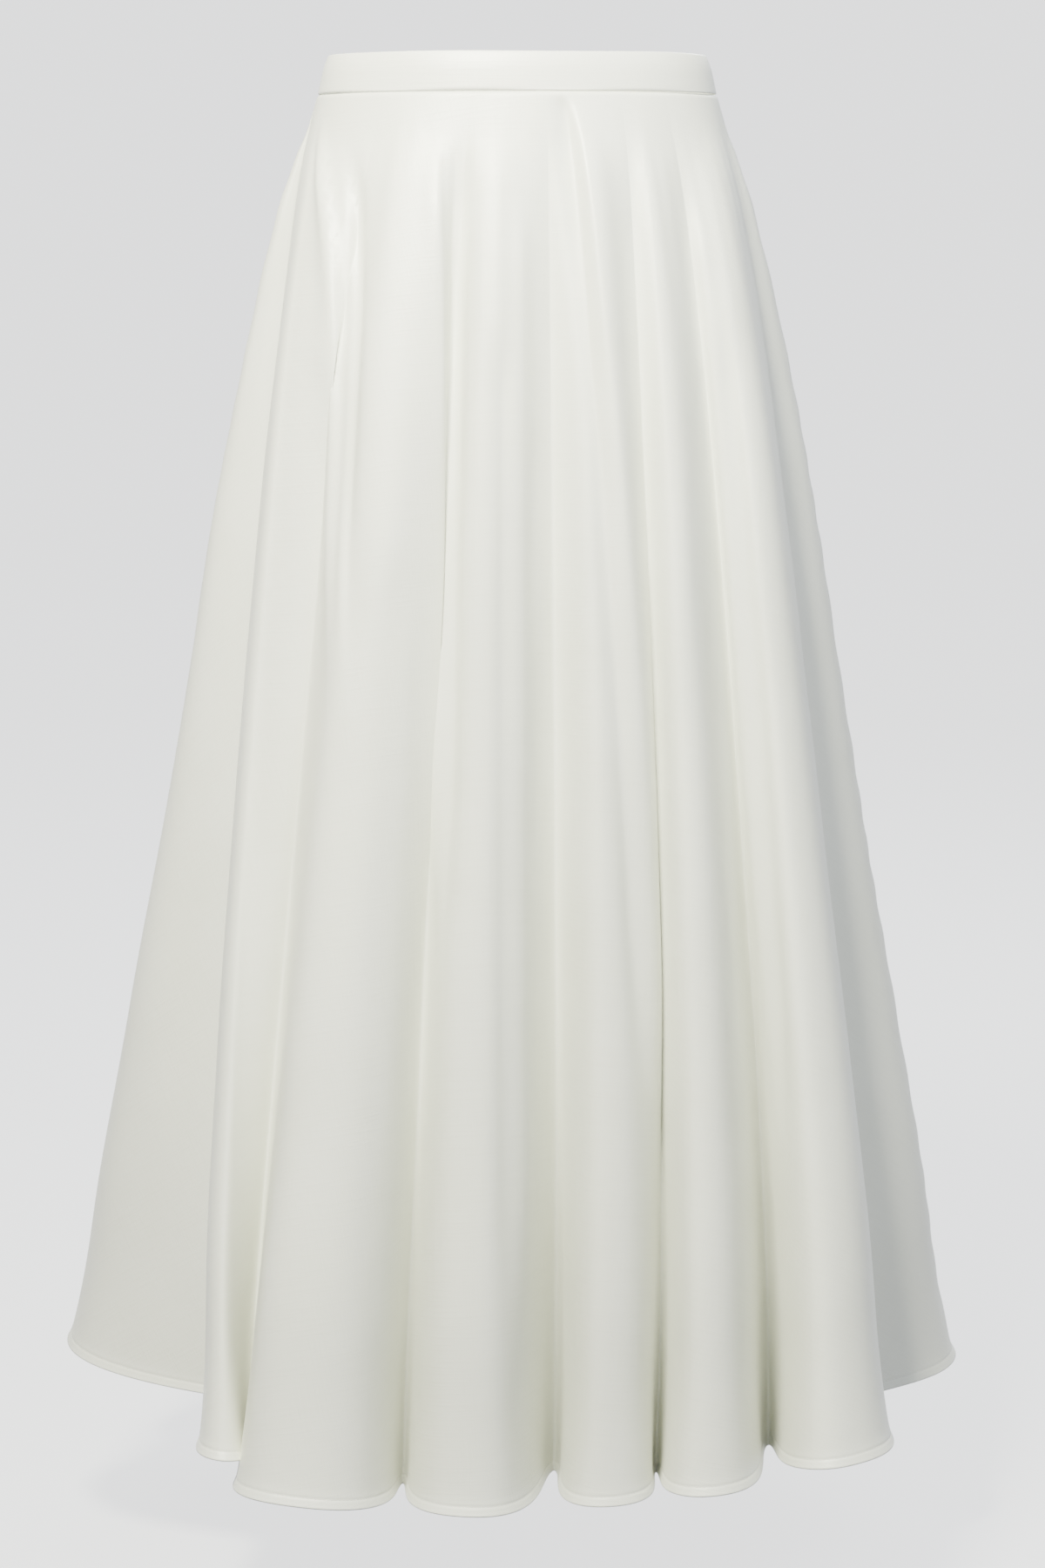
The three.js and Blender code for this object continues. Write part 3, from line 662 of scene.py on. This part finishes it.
class Nodes:
    """The nodes of one tree."""

    def __init__(self, tree):
        self.tree = tree
        tree.nodes.clear()

    def add(self, kind, settings=None, inputs=None):
        """A node of a type, with its settings made first and then the values or links of its sockets."""
        node = self.tree.nodes.new(kind)
        for key, setting in (settings or {}).items():
            setattr(node, key, setting)
        for key, source in (inputs or {}).items():
            socket = node.inputs[key]
            source = getattr(source, "socket", source)
            if isinstance(source, bpy.types.NodeSocket):
                self.tree.links.new(source, socket)
            else:
                socket.default_value = source
        return node

    def value(self, kind, settings=None, inputs=None, output=0):
        return Value(self, self.add(kind, settings, inputs).outputs[output])

    def vector(self, x, y, z):
        return self.add("ShaderNodeCombineXYZ", inputs={0: x, 1: y, 2: z}).outputs[0]

    def on_cut(self):
        """The place on the flat cut: across it and along it."""
        flat = self.add("ShaderNodeUVMap", {"uv_map": "cut"}).outputs[0]
        split = self.add("ShaderNodeSeparateXYZ", inputs={0: flat})
        return Value(self, split.outputs[0]), Value(self, split.outputs[1])

    def noise(self, vector, scale, detail=2.0, roughness=0.5):
        inputs = {"Vector": vector, "Scale": scale, "Detail": detail, "Roughness": roughness}
        return self.value("ShaderNodeTexNoise", {"noise_dimensions": "3D"}, inputs)

    def blend(self, factor, first, second):
        """A colour between two."""
        settings = {"data_type": "RGBA", "clamp_factor": True}
        node = self.add("ShaderNodeMix", settings, {0: factor, 6: first, 7: second})
        return node.outputs[2]


def new_material(name):
    material = bpy.data.materials.new(name)
    material.use_nodes = True
    return material, Nodes(material.node_tree)


def close_material(nodes, inputs, height=None, strength=0.0, distance=0.0):
    """The shader of a material with its values, the bump that a height gives it, and the output."""
    shader = nodes.add("ShaderNodeBsdfPrincipled", inputs=inputs)
    if height is not None:
        inputs = {"Strength": strength, "Distance": distance, "Height": height}
        normal = nodes.add("ShaderNodeBump", inputs=inputs)
        nodes.tree.links.new(normal.outputs[0], shader.inputs["Normal"])
    nodes.add("ShaderNodeOutputMaterial", inputs={"Surface": shader.outputs[0]})


def opaque(colour):
    return (*colour, 1.0)


def woven_cloth(cloth):
    """Plain-woven ivory cloth: fine threads along the grain, uneven yarn, a soft sheen, paler worn edges."""
    material, nodes = new_material("woven_ivory")
    across, along = nodes.on_cut()
    warp = (across * (math.pi / cloth.thread)).sine()
    weft = (along * (math.pi / cloth.thread)).sine()
    weave = (abs(warp) + abs(weft)) * 0.5 + warp * weft * 0.3
    weft_slub = nodes.noise(nodes.vector(across * 22, along * 520, 0.0), 1.0, 3.0)
    warp_slub = nodes.noise(nodes.vector(across * 620, along * 16, 4.0), 1.0, 3.0)
    slub = weft_slub.between(0.42, 0.72) * 0.6 + warp_slub.between(0.42, 0.72) * 0.4
    cloud = nodes.noise(nodes.vector(across, along, 7.0), 14.0, 3.0).between(0.3, 0.7)
    crumple = nodes.noise(nodes.vector(across * 1.6, along, 2.0), 46.0, 4.0, 0.55)
    worn = nodes.value("ShaderNodeAttribute", {"attribute_name": "edge"}, output=2)
    tone = nodes.blend(cloud * 0.55 + slub * 0.45, opaque(cloth.colour), opaque(cloth.colour_deep))
    tone = nodes.blend(worn * (0.35 + 0.3 * cloud), tone, opaque(cloth.colour_worn))
    inputs = {
        "Base Color": tone,
        "Roughness": cloth.roughness + 0.08 * slub + 0.05 * worn,
        "Specular IOR Level": cloth.gloss,
        "Sheen Weight": cloth.sheen,
        "Sheen Roughness": 0.45,
    }
    height = weave * 0.35 + slub * 0.45 + crumple * cloth.crumple
    close_material(nodes, inputs, height, strength=cloth.relief, distance=0.0004)
    return material


def thread_material(sewing):
    """Sewing thread: two twisted plies, a little glossier than the cloth."""
    material, nodes = new_material("ivory_thread")
    place = nodes.add("ShaderNodeTexCoord").outputs["Object"]
    shade = nodes.noise(place, 260.0, 2.0)
    inputs = {"Vector": place, "Scale": 900.0, "Distortion": 1.5}
    twist = nodes.value("ShaderNodeTexWave", {"wave_type": "BANDS"}, inputs, output=1)
    tone = nodes.blend(shade, opaque(sewing.colour), opaque(sewing.colour_deep))
    inputs = {"Base Color": tone, "Roughness": 0.55 + 0.2 * shade, "Sheen Weight": 0.3}
    close_material(nodes, inputs, twist, strength=0.4, distance=0.0001)
    return material


def tape_material(zip_sizes):
    """The zip's tape: a close herringbone of fine ribs, with painted shade between the ribs."""
    material, nodes = new_material("zip_tape_weave")
    across, along = nodes.on_cut()
    zigzag = abs((across * (math.pi / 0.004)).sine()) * 0.0016
    ribs = ((along + zigzag) * (2 * math.pi / zip_sizes.rib)).sine()
    shade = nodes.noise(nodes.vector(across, along, 1.0), 300.0, 3.0)
    # Darker at random, and darker between the ribs: the ribs' share is painted shade
    pale = shade * 0.6 + ribs.between(-1.0, 1.0) * 0.3
    tone = nodes.blend(pale, opaque(zip_sizes.tape_deep_and_rib_shade), opaque(zip_sizes.tape))
    inputs = {"Base Color": tone, "Roughness": 0.7 + 0.15 * shade, "Sheen Weight": 0.2}
    close_material(nodes, inputs, ribs * 0.5 + shade * 0.5, strength=0.5, distance=0.0002)
    return material


def lacquer_material(zip_sizes):
    """Ivory lacquer over metal, satin, rubbed through to bright metal in small spots."""
    material, nodes = new_material("ivory_lacquer")
    place = nodes.add("ShaderNodeTexCoord").outputs["Object"]
    grain = nodes.noise(place, 900.0, 3.0)
    rubbed = nodes.noise(place, 420.0, 4.0, 0.65).between(0.66, 0.72)
    tone = nodes.blend(grain * 0.5, opaque(zip_sizes.lacquer), opaque(zip_sizes.lacquer_deep))
    tone = nodes.blend(rubbed, tone, opaque(zip_sizes.bare))
    inputs = {
        "Base Color": tone,
        "Metallic": rubbed * 0.9,
        "Roughness": 0.34 + 0.12 * grain - 0.08 * rubbed,
        "Coat Weight": 0.35,
    }
    close_material(nodes, inputs, grain, strength=0.12, distance=0.0002)
    return material


def floor_material(stage):
    """Pale matt paper, lit from behind as on a light table."""
    material, nodes = new_material("pale_paper")
    place = nodes.add("ShaderNodeTexCoord").outputs["Object"]
    shade = nodes.noise(place, 1.2, 2.0)
    tone = nodes.blend(shade, opaque(stage.paper), opaque([PAPER_SHADE * c for c in stage.paper]))
    inputs = {
        "Base Color": tone,
        "Roughness": 0.9,
        "Specular IOR Level": 0.1,
        "Emission Color": opaque(stage.glow),
        "Emission Strength": stage.glow_strength,
    }
    close_material(nodes, inputs)
    return material


# Sewing and teeth: small shapes that follow a line

def repeat_tree(name, shape):
    """Geometry nodes that set small shapes along a line whose points carry the direction out of the cloth."""
    tree = bpy.data.node_groups.new(name, "GeometryNodeTree")
    nodes = Nodes(tree)
    sizes = [
        ("Pitch", "NodeSocketFloat"),
        ("Size", "NodeSocketVector"),
        ("Shift", "NodeSocketVector"),
        ("Phase", "NodeSocketFloat"),
        ("Jitter", "NodeSocketFloat"),
        ("Seed", "NodeSocketInt"),
        ("Material", "NodeSocketMaterial"),
    ]
    tree.interface.new_socket("Geometry", in_out="INPUT", socket_type="NodeSocketGeometry")
    for title, kind in sizes:
        tree.interface.new_socket(title, in_out="INPUT", socket_type=kind)
    tree.interface.new_socket("Geometry", in_out="OUTPUT", socket_type="NodeSocketGeometry")
    given = nodes.add("NodeGroupInput").outputs
    line = nodes.add("GeometryNodeMeshToCurve", inputs={"Mesh": given["Geometry"]}).outputs[0]
    length = nodes.value("GeometryNodeCurveLength", inputs={0: line})
    inputs = {"Curve": line, 4: given["Phase"], 5: length}
    line = nodes.add("GeometryNodeTrimCurve", {"mode": "LENGTH"}, inputs).outputs[0]
    inputs = {"Curve": line, "Length": given["Pitch"]}
    even = nodes.add("GeometryNodeResampleCurve", {"mode": "LENGTH"}, inputs).outputs[0]
    if shape == "stitch":
        inputs = {"Radius": 0.5, "Subdivisions": 2}
        part = nodes.add("GeometryNodeMeshIcoSphere", inputs=inputs).outputs[0]
    else:
        part = nodes.add("GeometryNodeMeshCube").outputs[0]
    tangent = nodes.add("GeometryNodeInputTangent").outputs[0]
    settings = {"data_type": "FLOAT_VECTOR"}
    outward = nodes.add("GeometryNodeInputNamedAttribute", settings, {"Name": "outward"}).outputs[0]
    turn = nodes.add("FunctionNodeAlignRotationToVector", {"axis": "X"}, {"Vector": tangent}).outputs[0]
    settings = {"axis": "Z", "pivot_axis": "X"}
    inputs = {"Rotation": turn, "Vector": outward}
    turn = nodes.add("FunctionNodeAlignRotationToVector", settings, inputs).outputs[0]
    inputs = {2: -1.0, 3: 1.0, "Seed": given["Seed"]}
    random = nodes.value("FunctionNodeRandomValue", {"data_type": "FLOAT"}, inputs, output=1)
    chance = random * given["Jitter"]
    wobble = nodes.vector(chance, chance * -0.5, chance * 0.5)
    inputs = {0: wobble, 1: given["Size"], 2: given["Size"]}
    size = nodes.add("ShaderNodeVectorMath", {"operation": "MULTIPLY_ADD"}, inputs).outputs[0]
    inputs = {"Points": even, "Instance": part, "Rotation": turn, "Scale": size}
    placed = nodes.add("GeometryNodeInstanceOnPoints", inputs=inputs).outputs[0]
    inputs = {"Instances": placed, "Translation": given["Shift"], "Local Space": True}
    placed = nodes.add("GeometryNodeTranslateInstances", inputs=inputs).outputs[0]
    real = nodes.add("GeometryNodeRealizeInstances", inputs={"Geometry": placed}).outputs[0]
    inputs = {"Geometry": real, "Material": given["Material"]}
    finished = nodes.add("GeometryNodeSetMaterial", inputs=inputs).outputs[0]
    nodes.add("NodeGroupOutput", inputs={"Geometry": finished})
    return tree


def line_object(line, outward):
    """A mesh of one open line whose points carry the direction out of the cloth."""
    mesh = bpy.data.meshes.new("guide")
    mesh.from_pydata(line.tolist(), [(i, i + 1) for i in range(len(line) - 1)], [])
    layer = mesh.attributes.new("outward", "FLOAT_VECTOR", "POINT")
    layer.data.foreach_set("vector", outward.ravel())
    guide = bpy.data.objects.new("guide", mesh)
    bpy.context.collection.objects.link(guide)
    return guide


def repeat_along(name, tree, line, outward, smooth, **sizes):
    """A plain mesh of the tree's shapes along a line."""
    guide = line_object(line, outward)
    modifier = guide.modifiers.new("repeat", "NODES")
    modifier.node_group = tree
    given = [item for item in tree.interface.items_tree if item.in_out == "INPUT"]
    sockets = {item.name: item.identifier for item in given}
    for title, size in sizes.items():
        modifier[sockets[title.capitalize()]] = size
    graph = bpy.context.evaluated_depsgraph_get()
    mesh = bpy.data.meshes.new_from_object(guide.evaluated_get(graph))
    mesh.name = name
    if smooth:
        mesh.shade_smooth()
    else:
        mesh.shade_flat()
    bpy.data.objects.remove(guide)
    piece = bpy.data.objects.new(name, mesh)
    bpy.context.collection.objects.link(piece)
    return piece


def make_tape(drape, band, zip_sizes, material):
    """The zip's tape, a narrow strip inside the centre back from the band's top down past the last tooth."""
    centre = drape.place_of(180)
    half = zip_sizes.width / 2
    across = np.linspace(-half, half, TAPE_COLUMNS)
    above, below = TAPE_SEAM
    heights = np.linspace(BAND_HEIGHT / 2 - TAPE_TOP, -BAND_HEIGHT / 2 + above, TAPE_BAND_ROWS)
    curl = band.curl * np.clip(2 * heights / BAND_HEIGHT, 0, 1) ** 2
    inward = band.thickness + curl + zip_sizes.gap
    bearing = math.pi + across / BAND_TOP[0]
    upper = band_point(bearing[:, None], heights[None, :], -inward[None, :])
    down = np.linspace(below, ZIP_LENGTH, TAPE_ROWS)
    pace = drape.speed(centre, down)
    columns = []
    for offset in across:
        line = centre + offset / pace
        rows = []
        for i, at in enumerate(line):
            pair = np.array([down[i], down[i] + SLOPE_STEP])
            point = drape.points(np.array([at]), pair)[0, 0]
            normal = drape.outward(np.array([at]), pair)[0, 0]
            rows.append(point - normal * zip_sizes.depth)
        columns.append(rows)
    face = np.concatenate([upper, np.array(columns)], axis=1)
    along = np.gradient(face, axis=1)
    normal = unit(np.cross(along, np.gradient(face, axis=0)))
    inner = face - normal * zip_sizes.thickness
    loop = np.concatenate([face, inner[:, ::-1]], axis=1)
    count, size = loop.shape[:2]
    faces = capped_faces(count, size)
    run = np.cumsum(np.append(0, np.linalg.norm(np.diff(face[TAPE_MIDDLE], axis=0), axis=1)))
    reach = np.concatenate([run, run[::-1]])
    uv = np.stack(np.broadcast_arrays(across[:, None], reach[None, :]), axis=-1)
    piece = mesh_of("zip_tape_cloth", loop, faces, uv, None, material)
    dress(piece, "zip_tape")
    return face, normal


def make_teeth(face, normal, zip_sizes, material):
    """Two rows of small teeth that interlock down the middle of the tape, on its inner side."""
    tree = repeat_tree("zip_teeth", "tooth")
    chain = slice(*CHAIN_ROWS)
    outward = normal[TAPE_MIDDLE, chain]
    middle = face[TAPE_MIDDLE, chain] - outward * (zip_sizes.thickness + zip_sizes.tooth[2] / 2)
    for number, (side, phase) in enumerate(((-1, 0.0), (1, 0.5))):
        shift = (0.0, side * zip_sizes.tooth[1] * TOOTH_SHIFT, 0.0)
        piece = repeat_along(
            "zip_teeth_" + "ab"[number], tree, middle, outward, smooth=False, pitch=zip_sizes.pitch,
            size=zip_sizes.tooth[:], shift=shift, phase=CHAIN_START + phase * zip_sizes.pitch, jitter=0.0,
            seed=number, material=material,
        )
        dress(piece)


def make_stitches(drape, cloth, sewing, material):
    """The row that holds the turned hem, on each panel."""
    tree = repeat_tree("stitches", "stitch")
    rows = LENGTH - cloth.hem_width + np.array([-SLOPE_STEP, 0.0, SLOPE_STEP])
    for number, panel in enumerate(PANELS):
        place = panel_places(drape, panel)
        points, normal = panel_face(drape, panel, place, rows, cloth)
        inner = slice(STITCH_MARGIN, -STITCH_MARGIN)
        line, outward = points[inner, 1], normal[inner, 1]
        piece = repeat_along(
            panel.node.replace("panel", "hem_stitches"), tree, line, outward, smooth=True,
            pitch=sewing.pitch, size=sewing.size[:], shift=(0.0, 0.0, 0.0), phase=STITCH_START,
            jitter=sewing.jitter, seed=number + 1, material=material,
        )
        dress(piece)


# Studio

def make_backdrop(stage, material):
    """A round bowl of pale paper: floor, a soft turn and a wall all round."""
    on_floor, on_turn, on_wall = BACKDROP_STEPS
    radii = [stage.floor_radius * share for share in np.linspace(0, 1, on_floor + 1)]
    section = [(radius, 0.0) for radius in radii]
    for turn in np.linspace(0, math.pi / 2, on_turn + 1)[1:]:
        section.append((radii[-1] + stage.fillet * math.sin(turn), stage.fillet * (1 - math.cos(turn))))
    for height in np.linspace(stage.fillet, stage.wall, on_wall + 1)[1:]:
        section.append((radii[-1] + stage.fillet, height))
    turns = np.linspace(0, 2 * math.pi, BACKDROP_SIDES + 1)[:-1]
    points = [(0.0, 0.0, stage.floor)]
    for radius, height in section[1:]:
        points += [(radius * math.sin(t), radius * math.cos(t), stage.floor + height) for t in turns]
    sides = [(k, (k + 1) % BACKDROP_SIDES) for k in range(BACKDROP_SIDES)]
    faces = [(0, 1 + after, 1 + k) for k, after in sides]
    for ring in range(len(section) - 2):
        here, there = 1 + ring * BACKDROP_SIDES, 1 + (ring + 1) * BACKDROP_SIDES
        faces += [(here + k, here + after, there + after, there + k) for k, after in sides]
    backdrop = mesh_of("backdrop", points, faces, material=material)
    backdrop.visible_diffuse = False


def add_light(name, place, size, power, colour):
    """A soft light at a place, turned towards the middle of the skirt."""
    data = bpy.data.lights.new(name, "AREA")
    data.shape = "RECTANGLE"
    data.size, data.size_y = size
    data.energy = power
    data.color = colour
    light = bpy.data.objects.new(name, data)
    bpy.context.collection.objects.link(light)
    light.visible_camera = False
    light.location = place
    light.rotation_euler = (Vector(LIGHTS_AIM) - Vector(place)).to_track_quat("-Z", "Y").to_euler()


def make_stage(stage):
    make_backdrop(stage, floor_material(stage))
    world = bpy.data.worlds.new("studio")
    world.use_nodes = True
    background = world.node_tree.nodes["Background"]
    background.inputs["Color"].default_value = opaque(stage.air)
    background.inputs["Strength"].default_value = stage.air_strength
    bpy.context.scene.world = world
    add_light("key", stage.key_place[:], stage.key_size[:], stage.key_power, stage.key_colour[:])
    add_light("fill", stage.fill_place[:], stage.fill_size[:], stage.fill_power, stage.fill_colour[:])
    add_light("back", stage.back_place[:], stage.fill_size[:], stage.back_power, stage.fill_colour[:])
    data = bpy.data.cameras.new("camera")
    data.lens, data.sensor_width = stage.lens, SENSOR_WIDTH
    data.clip_end = CLIP_END
    camera = bpy.data.objects.new("camera", data)
    bpy.context.collection.objects.link(camera)
    camera.location = stage.camera_place[:]
    camera.rotation_euler = (math.radians(90 - stage.camera_pitch), 0.0, 0.0)
    bpy.context.scene.camera = camera


def length_property(name, default, description):
    return FloatProperty(name=name, default=default, description=description, unit="LENGTH", precision=5)


def colour_property(name, default, description):
    return FloatVectorProperty(name=name, default=default, description=description, subtype="COLOR", size=3)


def place_property(name, default, description):
    return FloatVectorProperty(
        name=name, default=default, description=description, subtype="TRANSLATION", size=3,
    )


def sides_property(name, default, description):
    return FloatVectorProperty(name=name, default=default, description=description, size=2)


def number_property(name, default, description):
    return FloatProperty(name=name, default=default, description=description)


class ClothSettings(bpy.types.PropertyGroup):
    thickness: length_property("Thickness", 0.0009, "Thickness of the cloth")
    hem_width: length_property("Hem width", 0.0055, "Width of the turned hem")
    lip: length_property("Lip", 0.0016, "How far the hem's edge curls out")
    seam_depth: length_property("Seam depth", 0.0011, "How far the cloth rolls in at a seam")
    seam_width: length_property("Seam width", 0.0012, "How wide it rolls in at a seam")
    stitch_depth: length_property("Stitch depth", 0.00035, "How far the hem's sewing pulls the cloth in")
    unevenness: length_property("Unevenness", 0.0008, "Height of the cloth's soft unevenness")
    pucker: length_property("Pucker", 0.0004, "Height of the puckers beside the panel seams")
    thread: length_property("Thread", 0.00055, "Distance from one thread of the weave to the next")
    colour: colour_property("Colour", (0.85, 0.863, 0.775), "Ivory of the cloth")
    colour_deep: colour_property("Deep colour", (0.80, 0.813, 0.715), "Colour between the threads")
    colour_worn: colour_property("Worn colour", (0.88, 0.893, 0.83), "Colour of the worn edges")
    roughness: number_property("Roughness", 0.40, "Roughness of the cloth")
    gloss: number_property("Gloss", 1.0, "Strength of the cloth's soft gloss")
    sheen: number_property("Sheen", 0.05, "Strength of the soft sheen")
    relief: number_property("Relief", 0.35, "Strength of the weave's relief")
    crumple: number_property("Crumple", 1.4, "Share of faint crumples in the relief")


class BandSettings(bpy.types.PropertyGroup):
    thickness: length_property("Thickness", 0.0018, "Thickness of the doubled band")
    curl: length_property("Curl", 0.0016, "How far the top edge leans in")
    swell: length_property("Swell", 0.0002, "How far the middle of the band stands out")
    slit: length_property("Slit", 0.0016, "Width of the opening at the centre back")
    unevenness: length_property("Unevenness", 0.0004, "Height of the band's soft unevenness")
    lift: length_property("Lift", 0.0004, "How far the top edge rises and falls")
    columns: IntProperty(name="Columns", default=360, description="Points round the band")


class SewingSettings(bpy.types.PropertyGroup):
    pitch: length_property("Pitch", 0.0027, "Distance from one stitch to the next")
    size: place_property("Size", (0.0022, 0.0004, 0.0003), "Length, width and height of a stitch")
    jitter: number_property("Jitter", 0.12, "How much the stitches differ")
    colour: colour_property("Colour", (0.80, 0.795, 0.75), "Colour of the thread")
    colour_deep: colour_property("Deep colour", (0.70, 0.695, 0.64), "Colour in the twist of the thread")


class ZipSettings(bpy.types.PropertyGroup):
    width: length_property("Width", 0.024, "Width of the tape")
    thickness: length_property("Thickness", 0.0005, "Thickness of the tape")
    gap: length_property("Gap", 0.0011, "Distance of the tape from the band")
    depth: length_property("Depth", 0.0024, "Depth of the tape's outer face inside the cloth's smooth face")
    rib: length_property("Rib", 0.0006, "Distance from one rib of the tape to the next")
    pitch: length_property("Pitch", 0.0015, "Distance from one tooth to the next in a row")
    tooth: place_property("Tooth", (0.0008, 0.0026, 0.0010), "Length, width and height of a tooth")
    tape: colour_property("Tape", (0.78, 0.775, 0.73), "Colour of the tape")
    # Darker tape colour, used for random tone and for painted shade between the ribs
    tape_deep_and_rib_shade: colour_property("Deep tape", (0.68, 0.672, 0.62), "Colour between the tape's ribs")
    lacquer: colour_property("Lacquer", (0.76, 0.75, 0.70), "Colour of the lacquer")
    lacquer_deep: colour_property("Deep lacquer", (0.70, 0.69, 0.64), "Darker shade of the lacquer")
    bare: colour_property("Bare", (0.62, 0.61, 0.58), "Colour of the metal under the lacquer")


class StageSettings(bpy.types.PropertyGroup):
    floor: length_property("Floor", -1.05, "Height of the floor")
    floor_radius: length_property("Floor radius", 5.5, "Radius of the flat floor")
    fillet: length_property("Turn", 1.5, "Radius of the turn from floor to wall")
    wall: length_property("Wall", 4.0, "Height of the wall")
    paper: colour_property("Paper", (0.28, 0.285, 0.29), "Colour of the paper")
    glow: colour_property("Glow", (0.975, 0.985, 1.0), "Colour of the light behind the paper")
    glow_strength: number_property("Glow strength", 2.12, "Strength of the light behind the paper")
    air: colour_property("Air", (0.84, 0.92, 1.0), "Colour of the light from all round")
    air_strength: number_property("Air strength", 0.09, "Strength of the light from all round")
    key_place: place_property("Key place", (-0.36, -1.00, 1.00), "Place of the main light")
    key_size: sides_property("Key size", (0.34, 0.34), "Sides of the main light")
    key_power: number_property("Key power", 126.0, "Strength of the main light")
    key_colour: colour_property("Key colour", (1.0, 0.985, 0.82), "Colour of the main light")
    fill_place: place_property("Fill place", (0.95, -0.85, 0.90), "Place of the fill light")
    fill_size: sides_property("Fill size", (1.4, 0.7), "Sides of the fill light")
    fill_power: number_property("Fill power", 26.0, "Strength of the fill light")
    fill_colour: colour_property("Fill colour", (0.88, 0.94, 1.0), "Colour of the fill light")
    back_place: place_property("Back place", (0.7, 2.3, 1.2), "Place of the light behind the skirt")
    back_power: number_property("Back power", 75.0, "Strength of the light behind the skirt")
    lens: number_property("Lens", 75.3, "Focal length of the camera in millimetres")
    camera_place: place_property("Camera place", (0.0036, -2.300, -0.088), "Place of the camera")
    camera_pitch: number_property("Camera pitch", 10.0, "How far the camera looks down, in degrees")


class SkirtSettings(bpy.types.PropertyGroup):
    cloth: PointerProperty(type=ClothSettings, name="Cloth", description="Sizes and colours of the cloth")
    band: PointerProperty(type=BandSettings, name="Band", description="Sizes of the waistband")
    sewing: PointerProperty(type=SewingSettings, name="Sewing", description="Sizes and colours of stitches")
    zip: PointerProperty(type=ZipSettings, name="Zip", description="Sizes and colours of the zip")
    stage: PointerProperty(type=StageSettings, name="Stage", description="Backdrop, lights and camera")


def settings():
    return bpy.context.scene.skirt


def shared_material(name, build, sizes):
    """A material by name, built when it is first asked for."""
    return bpy.data.materials.get(name) or build(sizes)


class AddPanels(bpy.types.Operator):
    """Builds the three cloth panels"""

    bl_idname = "skirt.add_panels"
    bl_label = "Cloth panels"

    def execute(self, context):
        drape, cloth = Drape(), settings().cloth
        material = shared_material("woven_ivory", woven_cloth, cloth)
        for panel in PANELS:
            make_panel(drape, panel, cloth, material)
        return {"FINISHED"}


class AddWaistband(bpy.types.Operator):
    """Builds the waistband"""

    bl_idname = "skirt.add_waistband"
    bl_label = "Waistband"

    def execute(self, context):
        material = shared_material("woven_ivory", woven_cloth, settings().cloth)
        make_waistband(settings().band, material)
        return {"FINISHED"}


class AddZip(bpy.types.Operator):
    """Builds the zip's tape and teeth, and finishes its slider and pull"""

    bl_idname = "skirt.add_zip"
    bl_label = "Zip"

    def execute(self, context):
        sizes = settings()
        lacquer = shared_material("ivory_lacquer", lacquer_material, sizes.zip)
        tape = shared_material("zip_tape_weave", tape_material, sizes.zip)
        face, normal = make_tape(Drape(), sizes.band, sizes.zip, tape)
        make_teeth(face, normal, sizes.zip, lacquer)
        for node in ("zip_slider", "zip_pull"):
            meshes = [piece for piece in bpy.data.objects if piece.type == "MESH"]
            found = [piece for piece in meshes if piece.name.split(".")[0] == node]
            if not found:
                raise RuntimeError("No piece of the frame is called " + node)
            for piece in found:
                piece.data.materials.clear()
                piece.data.materials.append(lacquer)
        return {"FINISHED"}


class AddSewing(bpy.types.Operator):
    """Builds the stitches of the hem"""

    bl_idname = "skirt.add_sewing"
    bl_label = "Sewing"

    def execute(self, context):
        sizes = settings()
        thread = shared_material("ivory_thread", thread_material, sizes.sewing)
        make_stitches(Drape(), sizes.cloth, sizes.sewing, thread)
        return {"FINISHED"}


class AddStage(bpy.types.Operator):
    """Builds the backdrop, the lights and the camera"""

    bl_idname = "skirt.add_stage"
    bl_label = "Stage"

    def execute(self, context):
        make_stage(settings().stage)
        return {"FINISHED"}


class SkirtPanel(bpy.types.Panel):
    """Buttons and sizes of the skirt"""

    bl_idname = "VIEW3D_PT_skirt"
    bl_label = "Skirt"
    bl_space_type = "VIEW_3D"
    bl_region_type = "UI"
    bl_category = "Skirt"

    def draw(self, context):
        for operator in OPERATORS:
            self.layout.operator(operator.bl_idname)
        for group in ("cloth", "band", "sewing", "zip", "stage"):
            box = self.layout.box()
            sizes = getattr(context.scene.skirt, group)
            for key in sizes.__annotations__:
                box.prop(sizes, key)


OPERATORS = (AddPanels, AddWaistband, AddZip, AddSewing, AddStage)
GROUPS = (ClothSettings, BandSettings, SewingSettings, ZipSettings, StageSettings, SkirtSettings)


def register():
    for kind in (*GROUPS, *OPERATORS, SkirtPanel):
        bpy.utils.register_class(kind)
    bpy.types.Scene.skirt = PointerProperty(type=SkirtSettings)


def unregister():
    del bpy.types.Scene.skirt
    for kind in reversed((*GROUPS, *OPERATORS, SkirtPanel)):
        bpy.utils.unregister_class(kind)


def main():
    register()
    bpy.ops.skirt.add_panels()
    bpy.ops.skirt.add_waistband()
    bpy.ops.skirt.add_zip()
    bpy.ops.skirt.add_sewing()
    bpy.ops.skirt.add_stage()


if __name__ == "__main__":
    main()
